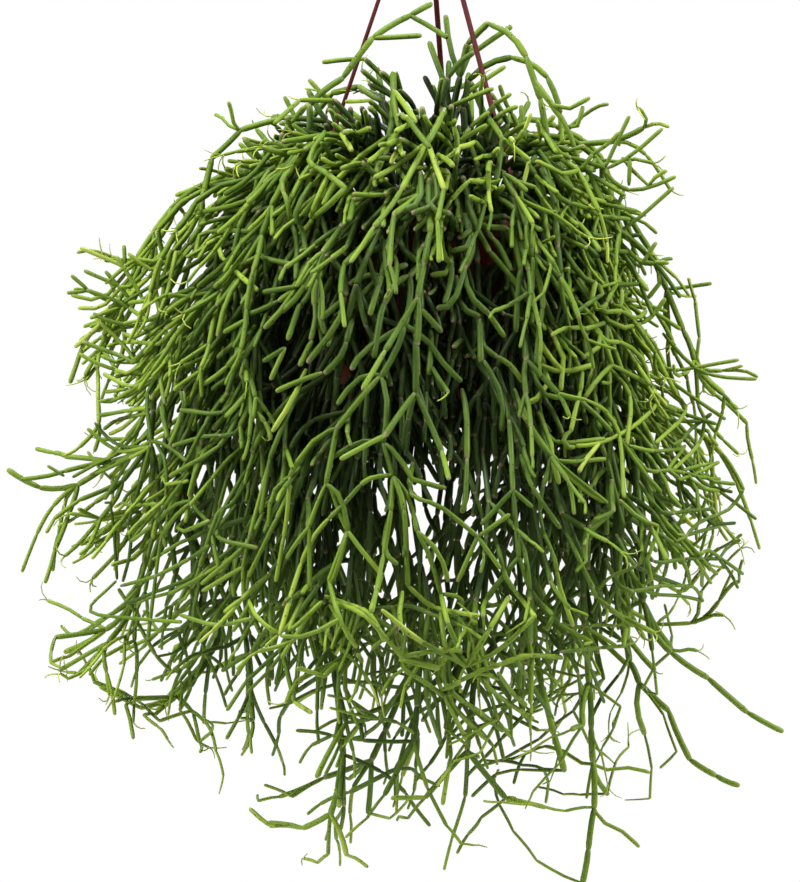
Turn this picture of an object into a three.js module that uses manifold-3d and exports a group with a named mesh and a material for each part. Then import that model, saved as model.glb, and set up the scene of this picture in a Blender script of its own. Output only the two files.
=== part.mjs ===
// A hanging pot with a mop-headed cactus of jointed, pencil-thin stems.
// Millimetres, +Z up. The origin is where the hook bears on whatever carries it.
import * as THREE from "three";
import { mergeVertices } from "three/addons/utils/BufferGeometryUtils.js";
import Module from "manifold-3d";

const wasm = await Module();
wasm.setup();

// Pot
const rimZ = -250;
const rimRadius = 75;
const baseRadius = 52;
const potHeight = 120;
const wall = 2;
const lipDepth = 11;
const lipOut = 2.2;
const round = 20;
const drainRadius = 4;
const drainRing = 32;

// Soil
const soilDrop = 12;
const soilZ = rimZ - soilDrop;
const rootDepth = 14;
const slip = 0.35;

// Hanger
const lugAngles = [77, 197, 317];
const lugRing = 80.2;
const lugWide = 11;
const lugThick = 3;
const slotAlong = 4.4;
const slotAcross = 4;
const strapWide = 3.2;
const strapThick = 2;
const knobWide = 6.4;
const knobLong = 3;
const hubZ = -47;
const hubRing = 6.6;
const hubRadius = 11;
const hubThick = 3;
const hookRod = 2;
const hookLoop = 11;
const hookSides = 6;
const hookSteps = 9;

// Stems: radius of the drawn three-sided rod against the stem's own radius
const cornerShare = 1.25;
const mainRadius = 2.2;
const testRadius = 2.7;
const mainGap = 1;
const chainGap = 0.9;
const atFork = 5.5; // a side joint may touch its neighbours this near to its fork
const nearKin = 20; // and its own stem this near

const plus = (a, b, k = 1) => [a[0] + b[0] * k, a[1] + b[1] * k, a[2] + b[2] * k];
const dot = (a, b) => a[0] * b[0] + a[1] * b[1] + a[2] * b[2];
const size = (a) => Math.sqrt(dot(a, a));
const scaled = (a, k) => [a[0] * k, a[1] * k, a[2] * k];
const radians = (d) => (d * Math.PI) / 180;

function unit(a) {
  const s = size(a);
  return [a[0] / s, a[1] / s, a[2] / s];
}

function cross(a, b) {
  return [a[1] * b[2] - a[2] * b[1], a[2] * b[0] - a[0] * b[2], a[0] * b[1] - a[1] * b[0]];
}

// A seeded sequence of even numbers between low and high.
function makeDraw(seed) {
  let state = seed % 4294967296;
  const draw = (low = 0, high = 1) => {
    state = (state * 1664525 + 1013904223) % 4294967296;
    return low + ((high - low) * state) / 4294967296;
  };
  for (let i = 0; i < 4; i++) draw();
  return draw;
}

// How far out the leafy mass reaches: height over the rim, left side, right side.
const outline = [
  [150, 4, 4], [125, 20, 20], [105, 46, 38], [80, 80, 60], [62, 104, 74], [40, 120, 92],
  [0, 142, 116], [-45, 172, 132], [-85, 186, 142], [-130, 192, 158], [-170, 192, 184],
  [-210, 190, 188], [-240, 196, 156], [-275, 192, 116], [-305, 156, 104], [-330, 112, 100],
  [-360, 90, 88], [-390, 56, 60], [-404, 5, 5],
];

function reachAt(p) {
  const z = p[2] - rimZ;
  if (z >= outline[0][0]) return outline[0][1] - (z - outline[0][0]) * 2;
  const rho = Math.sqrt(p[0] * p[0] + p[1] * p[1]);
  const right = 0.5 + (0.5 * p[0]) / (rho + 1);
  for (let i = 0; i < outline.length - 1; i++) {
    const [za, la, ra] = outline[i];
    const [zb, lb, rb] = outline[i + 1];
    if (z >= zb) {
      const f = (za - z) / (za - zb);
      return (la + (lb - la) * f) * (1 - right) + (ra + (rb - ra) * f) * right;
    }
  }
  return -100;
}

const overshoot = (p) => Math.sqrt(p[0] * p[0] + p[1] * p[1]) - reachAt(p);

function inPot(p, radius) {
  const rho = Math.sqrt(p[0] * p[0] + p[1] * p[1]);
  const z = p[2];
  if (z > rimZ + radius + 1.5 || z < rimZ - potHeight - radius - 2) return false;
  const share = Math.max(0, (rimZ - z) / potHeight);
  const outer = rimRadius + (baseRadius - rimRadius) * share + 2.5;
  if (rho < rimRadius - 5.5 - radius && z > soilZ + radius + 0.5) return false;
  return rho < outer + radius + 1;
}

// Small balls along every stem, filed by place, so that a new stem can be kept clear of the rest.
class Thicket {
  constructor(cell = 10, widest = 3.4) {
    this.cell = cell;
    this.widest = widest;
    this.cells = new Map();
  }
  add(p, radius, owner) {
    const c = this.cell;
    const w = radius + this.widest;
    const low = p.map((v) => Math.floor((v - w) / c));
    const high = p.map((v) => Math.floor((v + w) / c));
    for (let i = low[0]; i <= high[0]; i++)
      for (let j = low[1]; j <= high[1]; j++)
        for (let k = low[2]; k <= high[2]; k++) {
          const key = i + "," + j + "," + k;
          if (!this.cells.has(key)) this.cells.set(key, []);
          this.cells.get(key).push([p, radius, owner]);
        }
  }
  free(p, radius, gap, kin) {
    const key = p.map((v) => Math.floor(v / this.cell)).join(",");
    return (this.cells.get(key) || []).every(([q, r, owner]) => {
      if (owner === kin) return true;
      const d = plus(p, q, -1);
      const t = radius + r + gap;
      return dot(d, d) >= t * t;
    });
  }
}

function beads(points, spacing = 3) {
  const out = [];
  for (let i = 0; i < points.length - 1; i++) {
    const step = plus(points[i + 1], points[i], -1);
    const n = Math.max(1, Math.ceil(size(step) / spacing));
    for (let k = 0; k < n; k++) out.push(plus(points[i], step, k / n));
  }
  out.push(points[points.length - 1]);
  return out;
}

function settle(points, radius, thicket, owner) {
  for (const b of beads(points)) thicket.add(b, radius, owner);
}

function fits(points, radius, thicket, gap, slack, owner) {
  for (const b of beads(points)) {
    if (inPot(b, radius)) return false;
    const far = size(plus(b, points[0], -1));
    if (far < atFork) continue;
    if (!thicket.free(b, radius, gap, far < nearKin ? owner : undefined)) return false;
  }
  return overshoot(points[points.length - 1]) < slack;
}

function bezier(p, t) {
  const s = 1 - t;
  return [0, 1, 2].map(
    (i) => s * s * s * p[0][i] + 3 * s * s * t * p[1][i] + 3 * s * t * t * p[2][i] + t * t * t * p[3][i],
  );
}

// The joints of a main stem: up out of the soil, over the rim and down.
function mainJoints(spray, draw, tries) {
  if (spray.path) {
    const path = spray.path.map(([x, y, z]) => [x, y, rimZ + z]);
    const foot = [path[0][0], path[0][1], soilZ - rootDepth];
    const joints = [];
    for (let i = 0; i < path.length - 1; i++) {
      const before = path[i - 1] || foot;
      const after = path[i + 2] || path[i + 1];
      const ends = plus(path[i], path[i + 1]);
      joints.push([path[i], plus(scaled(ends, 9 / 16), plus(before, after), -1 / 16), path[i + 1]]);
    }
    joints[0].unshift(foot);
    return joints;
  }
  const j = Math.min(1, 0.15 + tries * 0.05);
  const a0 = radians(spray.az);
  const a1 = radians(spray.az + spray.swirl + draw(-20, 20) * j);
  const am = (a0 * 2 + a1) / 3;
  const rise = spray.rise * (1 + draw(-0.25, 0.4) * j) + 9 * j;
  const reach = spray.reach * (1 + draw(-0.12, 0.12) * j);
  const root = spray.root;
  const at = (radius, angle, z) => [radius * Math.cos(angle), radius * Math.sin(angle), rimZ + z];
  const foot = at(root, a0, -soilDrop - rootDepth);
  const collar = at(root, a0, -soilDrop + 8);
  const bend = [
    collar,
    at(root + (reach - root) * 0.1, a0, rise * 1.3 + 12),
    at(reach * 1.15, am, rise * 0.9),
    at(spray.tip, a1, -spray.drop),
  ];
  const n = 60;
  const points = [];
  for (let i = 0; i <= n; i++) points.push(bezier(bend, i / n));
  const run = [0];
  for (let i = 0; i < n; i++) run.push(run[i] + size(plus(points[i + 1], points[i], -1)));
  const total = run[n];
  const stops = [0];
  for (;;) {
    const at0 = stops[stops.length - 1];
    const step = (44 - (10 * at0) / total) * draw(0.8, 1.2);
    if (at0 + step * 1.5 > total) {
      stops.push(total);
      break;
    }
    stops.push(at0 + step);
  }
  const onCurve = (s) => {
    let i = 0;
    while (i < n - 1 && run[i + 1] < s) i++;
    return plus(points[i], plus(points[i + 1], points[i], -1), (s - run[i]) / (run[i + 1] - run[i]));
  };
  const joints = [];
  let last = collar;
  for (let k = 1; k < stops.length; k++) {
    const s = stops[k];
    const w = Math.min(1, s / 90) * 5;
    const shift = [draw(-w, w), draw(-w, w), draw(-w, w) * 0.5];
    const end = plus(onCurve(s), shift);
    const before = plus(last, onCurve(stops[k - 1]), -1);
    const mid = plus(onCurve((s + stops[k - 1]) / 2), plus(before, shift), 0.5);
    joints.push([last, mid, end]);
    last = end;
  }
  joints[0].unshift(foot);
  return joints;
}

function sideways(heading, p, angle) {
  const outward = unit([p[0], p[1], 0.0001]);
  let u = plus(outward, heading, -dot(outward, heading));
  if (dot(u, u) < 1e-4) u = plus([0, 0, 1], heading, -heading[2]);
  u = unit(u);
  return plus(scaled(u, Math.cos(angle)), cross(heading, u), Math.sin(angle));
}

// The side joints in order away from the main stem.
const orders = {
  1: { length: [30, 46], radius: 1.8, fork: [16, 44], down: 0, out: 0.04 },
  2: { length: [26, 40], radius: 1.6, fork: [16, 46], down: 0, out: 0.06 },
  3: { length: [20, 34], radius: 1.4, fork: [18, 50], down: 0, out: 0.07 },
};

// How hard side joints are pulled down: height over the rim, pull.
const droops = [
  [400, 0.05], [60, 0.08], [20, 0.2], [-60, 0.3], [-160, 0.15], [-240, 0], [-500, -0.05],
];

function droopAt(p) {
  const z = p[2] - rimZ;
  for (let i = 0; i < droops.length - 1; i++) {
    const [za, a] = droops[i];
    const [zb, b] = droops[i + 1];
    if (z >= zb) return a + ((b - a) * (za - z)) / (za - zb);
  }
  return 0;
}

// In the outermost layer, joints fork wider, are held up and point outward.
const shell = { deep: 50, fork: 12, hold: 0.9, out: 0.28 };

function sprout(start, heading, order, turn, thicket, owner, draw, tries, slack, steps) {
  const o = orders[order];
  const radius = o.radius * cornerShare;
  const edge = Math.max(0, Math.min(1, (overshoot(start) + shell.deep) / shell.deep));
  for (let attempt = 0; attempt < tries; attempt++) {
    const angle = radians(draw(o.fork[0], o.fork[1]) + shell.fork * edge);
    const side = sideways(heading, start, turn + attempt * 2.4);
    let d = unit(plus(scaled(heading, Math.cos(angle)), side, Math.sin(angle)));
    const length = draw(o.length[0], o.length[1]) * (1 - 0.03 * attempt);
    const down = o.down + droopAt(start) * (1 - shell.hold * edge);
    const outward = unit([start[0], start[1], 0.0001]);
    const points = [start];
    for (let i = 0; i < steps; i++) {
      const lean = plus(d, [0, 0, -1], (down * 2) / steps);
      d = unit(plus(lean, outward, ((o.out + shell.out * edge + draw(-0.06, 0.06)) * 2) / steps));
      points.push(plus(points[i], d, length / steps));
    }
    if (fits(points, radius, thicket, chainGap, slack, owner)) {
      settle(points, radius, thicket, owner);
      return { points, heading: d };
    }
  }
  return null;
}

// Main stems that are placed by hand: points over the rim, first joint that branches,
// how far past the outline the branches may go, and how many joints follow a branch.
const placed = [
  { path: [[-40, -26, 0], [-66, -36, 36], [-71, -36, 71], [-51, -30, 88], [-33, -24, 113],
    [-10, -12, 128], [3, -4, 136]],
    from: 3, slack: 4, more: 0 },
  { path: [[8, -12, 0], [6, -16, 50], [13, -16, 89], [29, -14, 105], [52, -12, 121]],
    from: 4, slack: 20, more: 0 },
  { path: [[32, -10, 0], [24, -10, 50], [26, -10, 88], [52, -16, 102], [74, -18, 90], [82, -20, 68]],
    from: 3, slack: 6, more: 0 },
  { path: [[46, 4, 0], [60, 8, 44], [88, 8, 50], [116, 6, 52], [134, 4, 60]],
    from: 2, slack: 22, more: 1 },
  { path: [[-49, -21, 2], [-84, -38, 30], [-128, -42, 10], [-156, -34, -40], [-166, -28, -90],
    [-169, -24, -134], [-192, -22, -146], [-213, -22, -160], [-236, -20, -162], [-256, -18, -151]],
    from: 4, slack: 42, more: 0 },
  { path: [[-50, 20, 2], [-80, 30, 28], [-120, 34, 0], [-148, 32, -60], [-160, 26, -120],
    [-170, 18, -180], [-180, 10, -231], [-198, 8, -250]],
    from: 5, slack: 42, more: 1 },
  { path: [[52, -14, 2], [82, -26, 26], [110, -34, -14], [124, -36, -80], [130, -36, -150],
    [132, -34, -231], [149, -30, -262], [172, -26, -278], [196, -22, -299], [218, -20, -311]],
    from: 4, slack: 36, more: 0 },
  { path: [[50, 18, 2], [80, 24, 24], [102, 26, -24], [112, 26, -100], [116, 22, -180], [122, 14, -250],
    [132, 10, -283], [150, 6, -300], [163, 4, -330], [193, 2, -346]],
    from: 4, slack: 46, more: 0 },
  { path: [[44, -28, 2], [70, -58, 34], [78, -84, -16], [86, -92, -100], [92, -86, -195],
    [97, -76, -278], [100, -66, -326], [101, -62, -354], [94, -60, -400]],
    from: 3, slack: 34, more: 1 },
  { path: [[53, 2, 2], [88, 2, 28], [124, -4, 8], [148, -8, -40], [165, -10, -84]],
    from: 2, slack: 40, more: 0 },
  { path: [[-8, -50, 2], [-11, -78, 31], [-13, -98, -9], [-14, -106, -64], [-28, -112, -94],
    [-55, -114, -125], [-62, -114, -160], [-73, -114, -186]],
    from: 2, slack: 4, more: 2 },
  { path: [[-34, 42, 2], [-56, 68, 24], [-88, 84, -6], [-106, 90, -70], [-114, 84, -150],
    [-122, 72, -225], [-136, 60, -268], [-156, 46, -294]],
    from: 3, slack: 26, more: 1 },
  { path: [[-27, -44, 2], [-44, -74, 24], [-56, -92, -26], [-60, -96, -110], [-60, -88, -200],
    [-56, -78, -270], [-50, -66, -322], [-58, -60, -358]],
    from: 3, slack: 24, more: 2 },
  { path: [[-46, 2, 2], [-78, 6, 40], [-120, 8, 34], [-154, 4, 14], [-178, 0, -20]],
    from: 2, slack: 26, more: 1 },
  { path: [[14, -48, 2], [22, -78, 24], [30, -98, -26], [34, -106, -110], [36, -104, -200],
    [30, -98, -262], [24, -86, -318]],
    from: 2, slack: 8, more: 2 },
  { path: [[6, 54, 2], [10, 82, 22], [16, 100, -30], [18, 104, -120], [10, 96, -220], [-14, 80, -290],
    [-34, 66, -335]],
    from: 3, slack: 14, more: 1 },
  { path: [[30, -42, 2], [46, -72, 28], [54, -92, -14], [56, -102, -64], [60, -106, -116],
    [62, -112, -170], [62, -108, -225], [68, -98, -278], [82, -86, -330]],
    from: 1, slack: 8, more: 1 },
  { path: [[-18, -34, 2], [-26, -62, 40], [-34, -92, 10], [-37, -92, -44], [-28, -94, -98],
    [-14, -102, -148], [-4, -108, -205], [-4, -102, -262], [-8, -90, -312]],
    from: 1, slack: 8, more: 1 },
];

// Rings of main stems in the soil, outermost first: radius, count, first angle and
// the shapes taken in turn, each as rise, reach, drop and radius at the tip.
const rings = [
  { root: 60, count: 14, first: 3, more: 2,
    shapes: [[14, 122, 150, 134], [18, 106, 225, 112], [16, 112, 70, 128], [14, 102, 250, 100]] },
  { root: 44, count: 11, first: 14, more: 2,
    shapes: [[44, 128, 110, 140], [32, 110, 195, 124], [50, 118, 30, 134], [30, 104, 235, 108]] },
  { root: 28, count: 7, first: 25, more: 2,
    shapes: [[66, 112, -15, 118], [56, 124, 70, 138], [72, 94, -40, 100]] },
  { root: 10, count: 4, first: 60, more: 1,
    shapes: [[98, 56, -70, 60], [84, 76, -50, 84]] },
];

function sprayTable() {
  const rows = placed.map((p) => ({ ...p }));
  const taken = rows.map((r) => [r.path[0][0], r.path[0][1]]);
  const draw = makeDraw(5);
  for (const { root, count, first, more, shapes } of rings) {
    for (let i = 0; i < count; i++) {
      const [rise, reach, drop, tip] = shapes[i % shapes.length];
      let az = (first + (360 * i) / count) % 360;
      let spot;
      for (let k = 0; k < 60; k++) {
        spot = [root * Math.cos(radians(az)), root * Math.sin(radians(az))];
        const near = taken.every(([x, y]) => (x - spot[0]) ** 2 + (y - spot[1]) ** 2 > 72);
        const clear = lugAngles.every((s) => Math.abs(((az - s + 540) % 360) - 180) > 7);
        if (near && (clear || root < 40)) break;
        az += 2;
      }
      taken.push(spot);
      const wide = 1.05 - 0.09 * Math.cos(radians(az));
      rows.push({
        az,
        root,
        rise: rise * draw(0.85, 1.2),
        reach: reach * draw(0.95, 1.06) * wide,
        drop: drop * draw(0.9, 1.1),
        tip: tip * draw(0.92, 1.1) * wide,
        swirl: draw(-12, 12),
        from: 0,
        slack: 10,
        more,
      });
    }
  }
  return rows;
}

const lug = (angle) => [lugRing * Math.cos(radians(angle)), lugRing * Math.sin(radians(angle)), rimZ - 1];
const hubSpot = (angle) => [hubRing * Math.cos(radians(angle)), hubRing * Math.sin(radians(angle)), hubZ + 1];

// Grows every stem in turn and gives, for each main stem, its line and its side lines.
function growStems() {
  const thicket = new Thicket();
  for (const angle of lugAngles) settle([lug(angle), hubSpot(angle)], 2.4, thicket, -1);
  settle([[0, 0, hubZ - 3], [0, 0, 0]], 12, thicket, -1);
  const sprays = sprayTable();
  sprays.forEach((s, n) => {
    const a = radians(s.az || 0);
    const x = s.path ? s.path[0][0] : s.root * Math.cos(a);
    const y = s.path ? s.path[0][1] : s.root * Math.sin(a);
    settle([[x, y, soilZ - rootDepth], [x, y, soilZ - rootDepth + 22]], testRadius, thicket, n);
  });
  const mains = sprays.map((spray, n) => {
    let best = null;
    for (let attempt = 0; attempt < 60; attempt++) {
      const draw = makeDraw(1009 * (n + 1) + 31 * attempt);
      const joints = mainJoints(spray, draw, attempt);
      const line = beads(joints.flat());
      const bad = line.filter(
        (b) =>
          size(plus(b, line[0], -1)) >= 30 &&
          (inPot(b, testRadius) || !thicket.free(b, testRadius, mainGap)),
      ).length;
      if (!best || bad < best.bad) best = { bad, joints };
      if (!bad || spray.path) break;
    }
    settle(best.joints.flat(), testRadius, thicket, n);
    return { spray, joints: best.joints, bad: best.bad, sides: [] };
  });
  mains.forEach((stem, n) => {
    const { spray, joints } = stem;
    const draw = makeDraw(7001 * (n + 1) + 17);
    let turn = draw(0, 6.283);
    joints.forEach((part, j) => {
      const end = part[part.length - 1];
      const last = j === joints.length - 1;
      const away = Math.sqrt(end[0] * end[0] + end[1] * end[1]);
      if (!last && ((away < 50 && end[2] < rimZ + 12) || j < spray.from)) return;
      const heading = unit(plus(end, part[part.length - 2], -1));
      const count = last ? 2 : Math.max(j % 2, j - spray.from < 2 ? 1 : 0);
      for (let c = 0; c < count; c++) {
        turn += 2.4;
        const angle = 2 * Math.sin(turn);
        let got = sprout(end, heading, 1, angle, thicket, n, draw, 10, spray.slack - 4, 2);
        if (!got) continue;
        const side = [got.points];
        for (let order = 2; order < 2 + spray.more; order++) {
          const from = got.points[got.points.length - 1];
          const way = draw(-2.2, 2.2);
          got = sprout(from, got.heading, order, way, thicket, n, draw, 10, spray.slack + 4, 1);
          if (!got) break;
          side.push(got.points);
        }
        stem.sides.push(side);
      }
    });
  });
  return mains;
}

// A line through given points, for a rod that has a corner at each of them.
class StemLine extends THREE.Curve {
  constructor(points) {
    super();
    this.points = points.map((p) => new THREE.Vector3(...p));
  }
  getPoint(t) {
    const n = this.points.length - 1;
    const i = Math.min(n - 1, Math.floor(t * n));
    return this.points[i].clone().lerp(this.points[i + 1], t * n - i);
  }
  getPointAt(u) {
    return this.getPoint(u);
  }
  getSpacedPoints() {
    return this.points.map((p) => p.clone());
  }
  getTangentAt(u) {
    const n = this.points.length - 1;
    const i = Math.round(u * n);
    const way = new THREE.Vector3();
    if (i > 0) way.add(this.points[i].clone().sub(this.points[i - 1]).normalize());
    if (i < n) way.add(this.points[i + 1].clone().sub(this.points[i]).normalize());
    return way.normalize();
  }
}

function ringShape(radius, sides, start = 0) {
  const shape = new THREE.Shape();
  for (let i = 0; i < sides; i++) {
    const a = start + (2 * Math.PI * i) / sides;
    if (i) shape.lineTo(radius * Math.cos(a), radius * Math.sin(a));
    else shape.moveTo(radius * Math.cos(a), radius * Math.sin(a));
  }
  shape.closePath();
  return shape;
}

function rod(points, radius, sides = 3) {
  const path = new StemLine(points);
  const shape = ringShape(radius, sides);
  return new THREE.ExtrudeGeometry(shape, {
    steps: points.length - 1,
    curveSegments: 1,
    bevelEnabled: false,
    extrudePath: path,
  });
}

// A closed solid from a drawn geometry, with its vertices merged.
function solid(geometry) {
  const loose = geometry.index ? geometry.toNonIndexed() : geometry;
  const bare = new THREE.BufferGeometry().setAttribute("position", loose.getAttribute("position"));
  const merged = mergeVertices(bare, 1e-4);
  const faces = [];
  const index = merged.index.array;
  for (let i = 0; i < index.length; i += 3) {
    const [a, b, c] = index.slice(i, i + 3);
    if (a !== b && b !== c && a !== c) faces.push(a, b, c);
  }
  const vertProperties = merged.attributes.position.array;
  return new wasm.Manifold(new wasm.Mesh({ numProp: 3, vertProperties, triVerts: new Uint32Array(faces) }));
}

function turned(profile, segments = round) {
  const points = profile.map(([r, z]) => new THREE.Vector2(r, z));
  return solid(new THREE.LatheGeometry(points, segments).rotateX(Math.PI / 2));
}

function block(sizes, centre, angle = 0) {
  const box = new THREE.BoxGeometry(...sizes).translate(...centre);
  return solid(box.rotateZ(radians(angle)));
}

const group = new THREE.Group();
const looks = {
  pot: { color: 0x7c2f23, roughness: 0.4, metalness: 0 },
  soil: { color: 0x2a1d14, roughness: 0.95, metalness: 0 },
  hanger: { color: 0x6e1f1b, roughness: 0.4, metalness: 0 },
  stem: { color: 0x5c8a36, roughness: 0.5, metalness: 0 },
};

function place(name, made, look) {
  const data = made.getMesh();
  const geometry = new THREE.BufferGeometry();
  geometry.setAttribute("position", new THREE.BufferAttribute(data.vertProperties, 3));
  geometry.setIndex(new THREE.BufferAttribute(data.triVerts, 1));
  geometry.computeVertexNormals();
  const mesh = new THREE.Mesh(geometry, new THREE.MeshStandardMaterial(looks[look]));
  mesh.name = name;
  group.add(mesh);
}

// Pot: tapering wall, turned-out lip, drain holes in the base and three slotted lugs.
const outerAt = (z) => rimRadius + ((baseRadius - rimRadius) * (rimZ - z)) / potHeight;
const floorZ = rimZ - potHeight + 3;
const innerAt = (z) => outerAt(z) - wall - 0.2;
let pot = turned([
  [0, rimZ - potHeight],
  [baseRadius - 1.5, rimZ - potHeight],
  [baseRadius, rimZ - potHeight + 1.5],
  [outerAt(rimZ - lipDepth), rimZ - lipDepth],
  [rimRadius + lipOut, rimZ - lipDepth + 1],
  [rimRadius + lipOut, rimZ - 1],
  [rimRadius + lipOut - 1, rimZ],
  [innerAt(rimZ) + 1, rimZ],
  [innerAt(rimZ - 2), rimZ - 2],
  [innerAt(floorZ), floorZ],
  [0, floorZ],
]);
for (const angle of lugAngles) {
  const lugIn = rimRadius + 0.5;
  const lugOut = lugRing + 5;
  const middle = [(lugIn + lugOut) / 2, 0, rimZ - 1 - lugThick / 2];
  pot = pot.add(block([lugOut - lugIn, lugWide, lugThick], middle, angle));
  const slot = [lugRing, 0, middle[2]];
  pot = pot.subtract(block([slotAlong, slotAcross, lugThick + 2], slot, angle));
}
for (let i = 0; i < 4; i++) {
  const hole = new THREE.CylinderGeometry(drainRadius, drainRadius, 8, 6).rotateX(Math.PI / 2);
  hole.translate(drainRing, 0, rimZ - potHeight + 1).rotateZ(radians(45 + 90 * i));
  pot = pot.subtract(solid(hole));
}
place("pot", pot, "pot");

// Hook and hub in one piece: a slotted disc, and a rod that rises and turns over the origin.
let hook = turned(
  [[0, hubZ], [hubRadius - 0.8, hubZ], [hubRadius, hubZ + 0.8], [hubRadius, hubZ + hubThick - 0.8],
    [hubRadius - 0.8, hubZ + hubThick], [0, hubZ + hubThick]],
  12,
);
const slotZ = hubZ + hubThick / 2;
for (const angle of lugAngles) {
  hook = hook.subtract(block([slotAlong, slotAcross, hubThick + 2], [hubRing, 0, slotZ], angle));
}
const loopZ = hookRod - hookLoop;
const hookLine = [[0, 0, hubZ + 1.5], [0, 0, -32], [2.2, 0, -26.5], [6.2, 0, -21.5], [9.6, 0, -15.5]];
for (let i = 0; i <= hookSteps; i++) {
  const a = radians((i * 218) / hookSteps);
  hookLine.push([hookLoop * Math.cos(a), 0, loopZ + hookLoop * Math.sin(a)]);
}
hook = hook.add(solid(rod(hookLine, hookRod, hookSides)));
place("hook", hook, "hanger");

// Straps: each runs through its slot in a lug and in the hub and is held by a knob past either.
lugAngles.forEach((angle, i) => {
  const low = new THREE.Vector3(lugRing, 0, rimZ - 1 - lugThick);
  const high = new THREE.Vector3(hubRing, 0, hubZ + hubThick);
  const along = high.clone().sub(low);
  const half = along.length() / 2 + 0.75;
  along.normalize();
  const [w, k] = [strapWide / 2, knobWide / 2];
  const shape = new THREE.Shape();
  const end = half + knobLong;
  const edge = [[-w, -half], [-k, -half], [-k, -end], [k, -end], [k, -half], [w, -half],
    [w, half], [k, half], [k, end], [-k, end], [-k, half], [-w, half]];
  edge.forEach(([x, y], n) => (n ? shape.lineTo(x, y) : shape.moveTo(x, y)));
  const strap = new THREE.ExtrudeGeometry(shape, { depth: strapThick, bevelEnabled: false, steps: 1 });
  strap.translate(0, 0, -strapThick / 2);
  const across = new THREE.Vector3(0, 1, 0);
  const facing = across.clone().cross(along);
  const basis = new THREE.Matrix4().makeBasis(across, along, facing);
  basis.setPosition(low.clone().add(high).multiplyScalar(0.5));
  place("strap_" + (i + 1), solid(strap.applyMatrix4(basis).rotateZ(radians(angle))), "hanger");
});

// Stems, each main stem with its side joints fused into one piece.
const mains = growStems();
export const growth = mains;
let soil = turned([
  [0, floorZ + slip],
  [innerAt(floorZ) - slip, floorZ + slip],
  [innerAt(soilZ) - slip, soilZ],
  [0, soilZ],
]);
mains.forEach(({ joints, sides }, n) => {
  const line = joints.flatMap((part, j) => (j ? part.slice(1) : part));
  const rods = [solid(rod(line, mainRadius * cornerShare))];
  for (const side of sides) {
    const path = side.flatMap((part, j) => (j ? part.slice(1) : part));
    rods.push(solid(rod(path, 1.68 * cornerShare)));
  }
  const stem = wasm.Manifold.union(rods);
  place("spray_" + String(n + 1).padStart(2, "0"), stem, "stem");
  const foot = line[0];
  const socket = [[foot[0], foot[1], foot[2] - slip], [foot[0], foot[1], soilZ + 3]];
  soil = soil.subtract(solid(rod(socket, mainRadius * cornerShare + 2 * slip)));
});
place("soil", soil, "soil");

export default group;
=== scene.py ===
import math
import bmesh
import bpy
from mathutils import Matrix, Vector, noise


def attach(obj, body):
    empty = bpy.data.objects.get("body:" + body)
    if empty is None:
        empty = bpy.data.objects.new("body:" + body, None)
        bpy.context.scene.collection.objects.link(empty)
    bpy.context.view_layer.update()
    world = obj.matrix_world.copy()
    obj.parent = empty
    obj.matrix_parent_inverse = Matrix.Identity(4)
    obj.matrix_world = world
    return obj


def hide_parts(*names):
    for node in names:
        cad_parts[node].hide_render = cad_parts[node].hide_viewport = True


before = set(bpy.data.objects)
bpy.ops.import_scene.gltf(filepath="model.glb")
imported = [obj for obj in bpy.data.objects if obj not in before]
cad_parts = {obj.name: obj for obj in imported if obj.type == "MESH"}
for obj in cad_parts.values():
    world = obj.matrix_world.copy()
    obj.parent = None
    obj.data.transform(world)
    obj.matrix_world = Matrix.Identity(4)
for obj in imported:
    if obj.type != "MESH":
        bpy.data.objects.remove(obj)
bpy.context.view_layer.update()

mm = 0.001  # the growth works in millimetres, the pieces in metres

# the camera stands where the photograph was taken from
shot = {"across": -0.016, "away": 2.6, "up": -0.3833, "lens": 189.6, "sensor": 36, "far": 100}


def makeCamera():
    data = bpy.data.cameras.new("shotCamera")
    data.sensor_fit, data.sensor_width, data.lens = "HORIZONTAL", shot["sensor"], shot["lens"]
    data.clip_end = shot["far"]
    camera = bpy.data.objects.new("shotCamera", data)
    camera.location = (shot["across"], -shot["away"], shot["up"])
    camera.rotation_euler = (math.radians(90), 0, 0)
    bpy.context.collection.objects.link(camera)
    bpy.context.scene.camera = camera


makeCamera()

# measures shared with the solid model, in millimetres
pot = {"rimZ": -250, "rim": 75, "base": 52, "height": 120, "soilDrop": 12, "rootDepth": 14}
hanger = {"lugAngles": (77, 197, 317), "lugRing": 80.2, "hubRing": 6.6, "hubZ": -47}
soilZ = pot["rimZ"] - pot["soilDrop"]


def plus(a, b, k=1):
    return (a[0] + b[0] * k, a[1] + b[1] * k, a[2] + b[2] * k)


def dot(a, b):
    return a[0] * b[0] + a[1] * b[1] + a[2] * b[2]


def cross(a, b):
    return (a[1] * b[2] - a[2] * b[1], a[2] * b[0] - a[0] * b[2], a[0] * b[1] - a[1] * b[0])


def size(a):
    return math.sqrt(dot(a, a))


def scaled(a, k):
    return (a[0] * k, a[1] * k, a[2] * k)


def unit(a):
    s = size(a)
    return (a[0] / s, a[1] / s, a[2] / s)


def away(p):
    return math.sqrt(p[0] * p[0] + p[1] * p[1])


# the seeded draws, with seeds of their own for each kind of stem
drawRule = {"times": 1664525, "plus": 1013904223, "span": 4294967296, "skip": 4}
seeds = {"rings": 5, "mains": (1009, 31), "sides": (7001, 17), "fillers": (3301, 59), "shoots": (271, 13),
         "twigs": (104729, 4001, 131), "sprayJoints": (97, 11), "rimJoints": (89, 5), "soil": 77}
fullTurn = 6.283
nextTurn = 2.4  # from one side joint to the next, about the golden angle
nearZero = 0.0001


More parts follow.
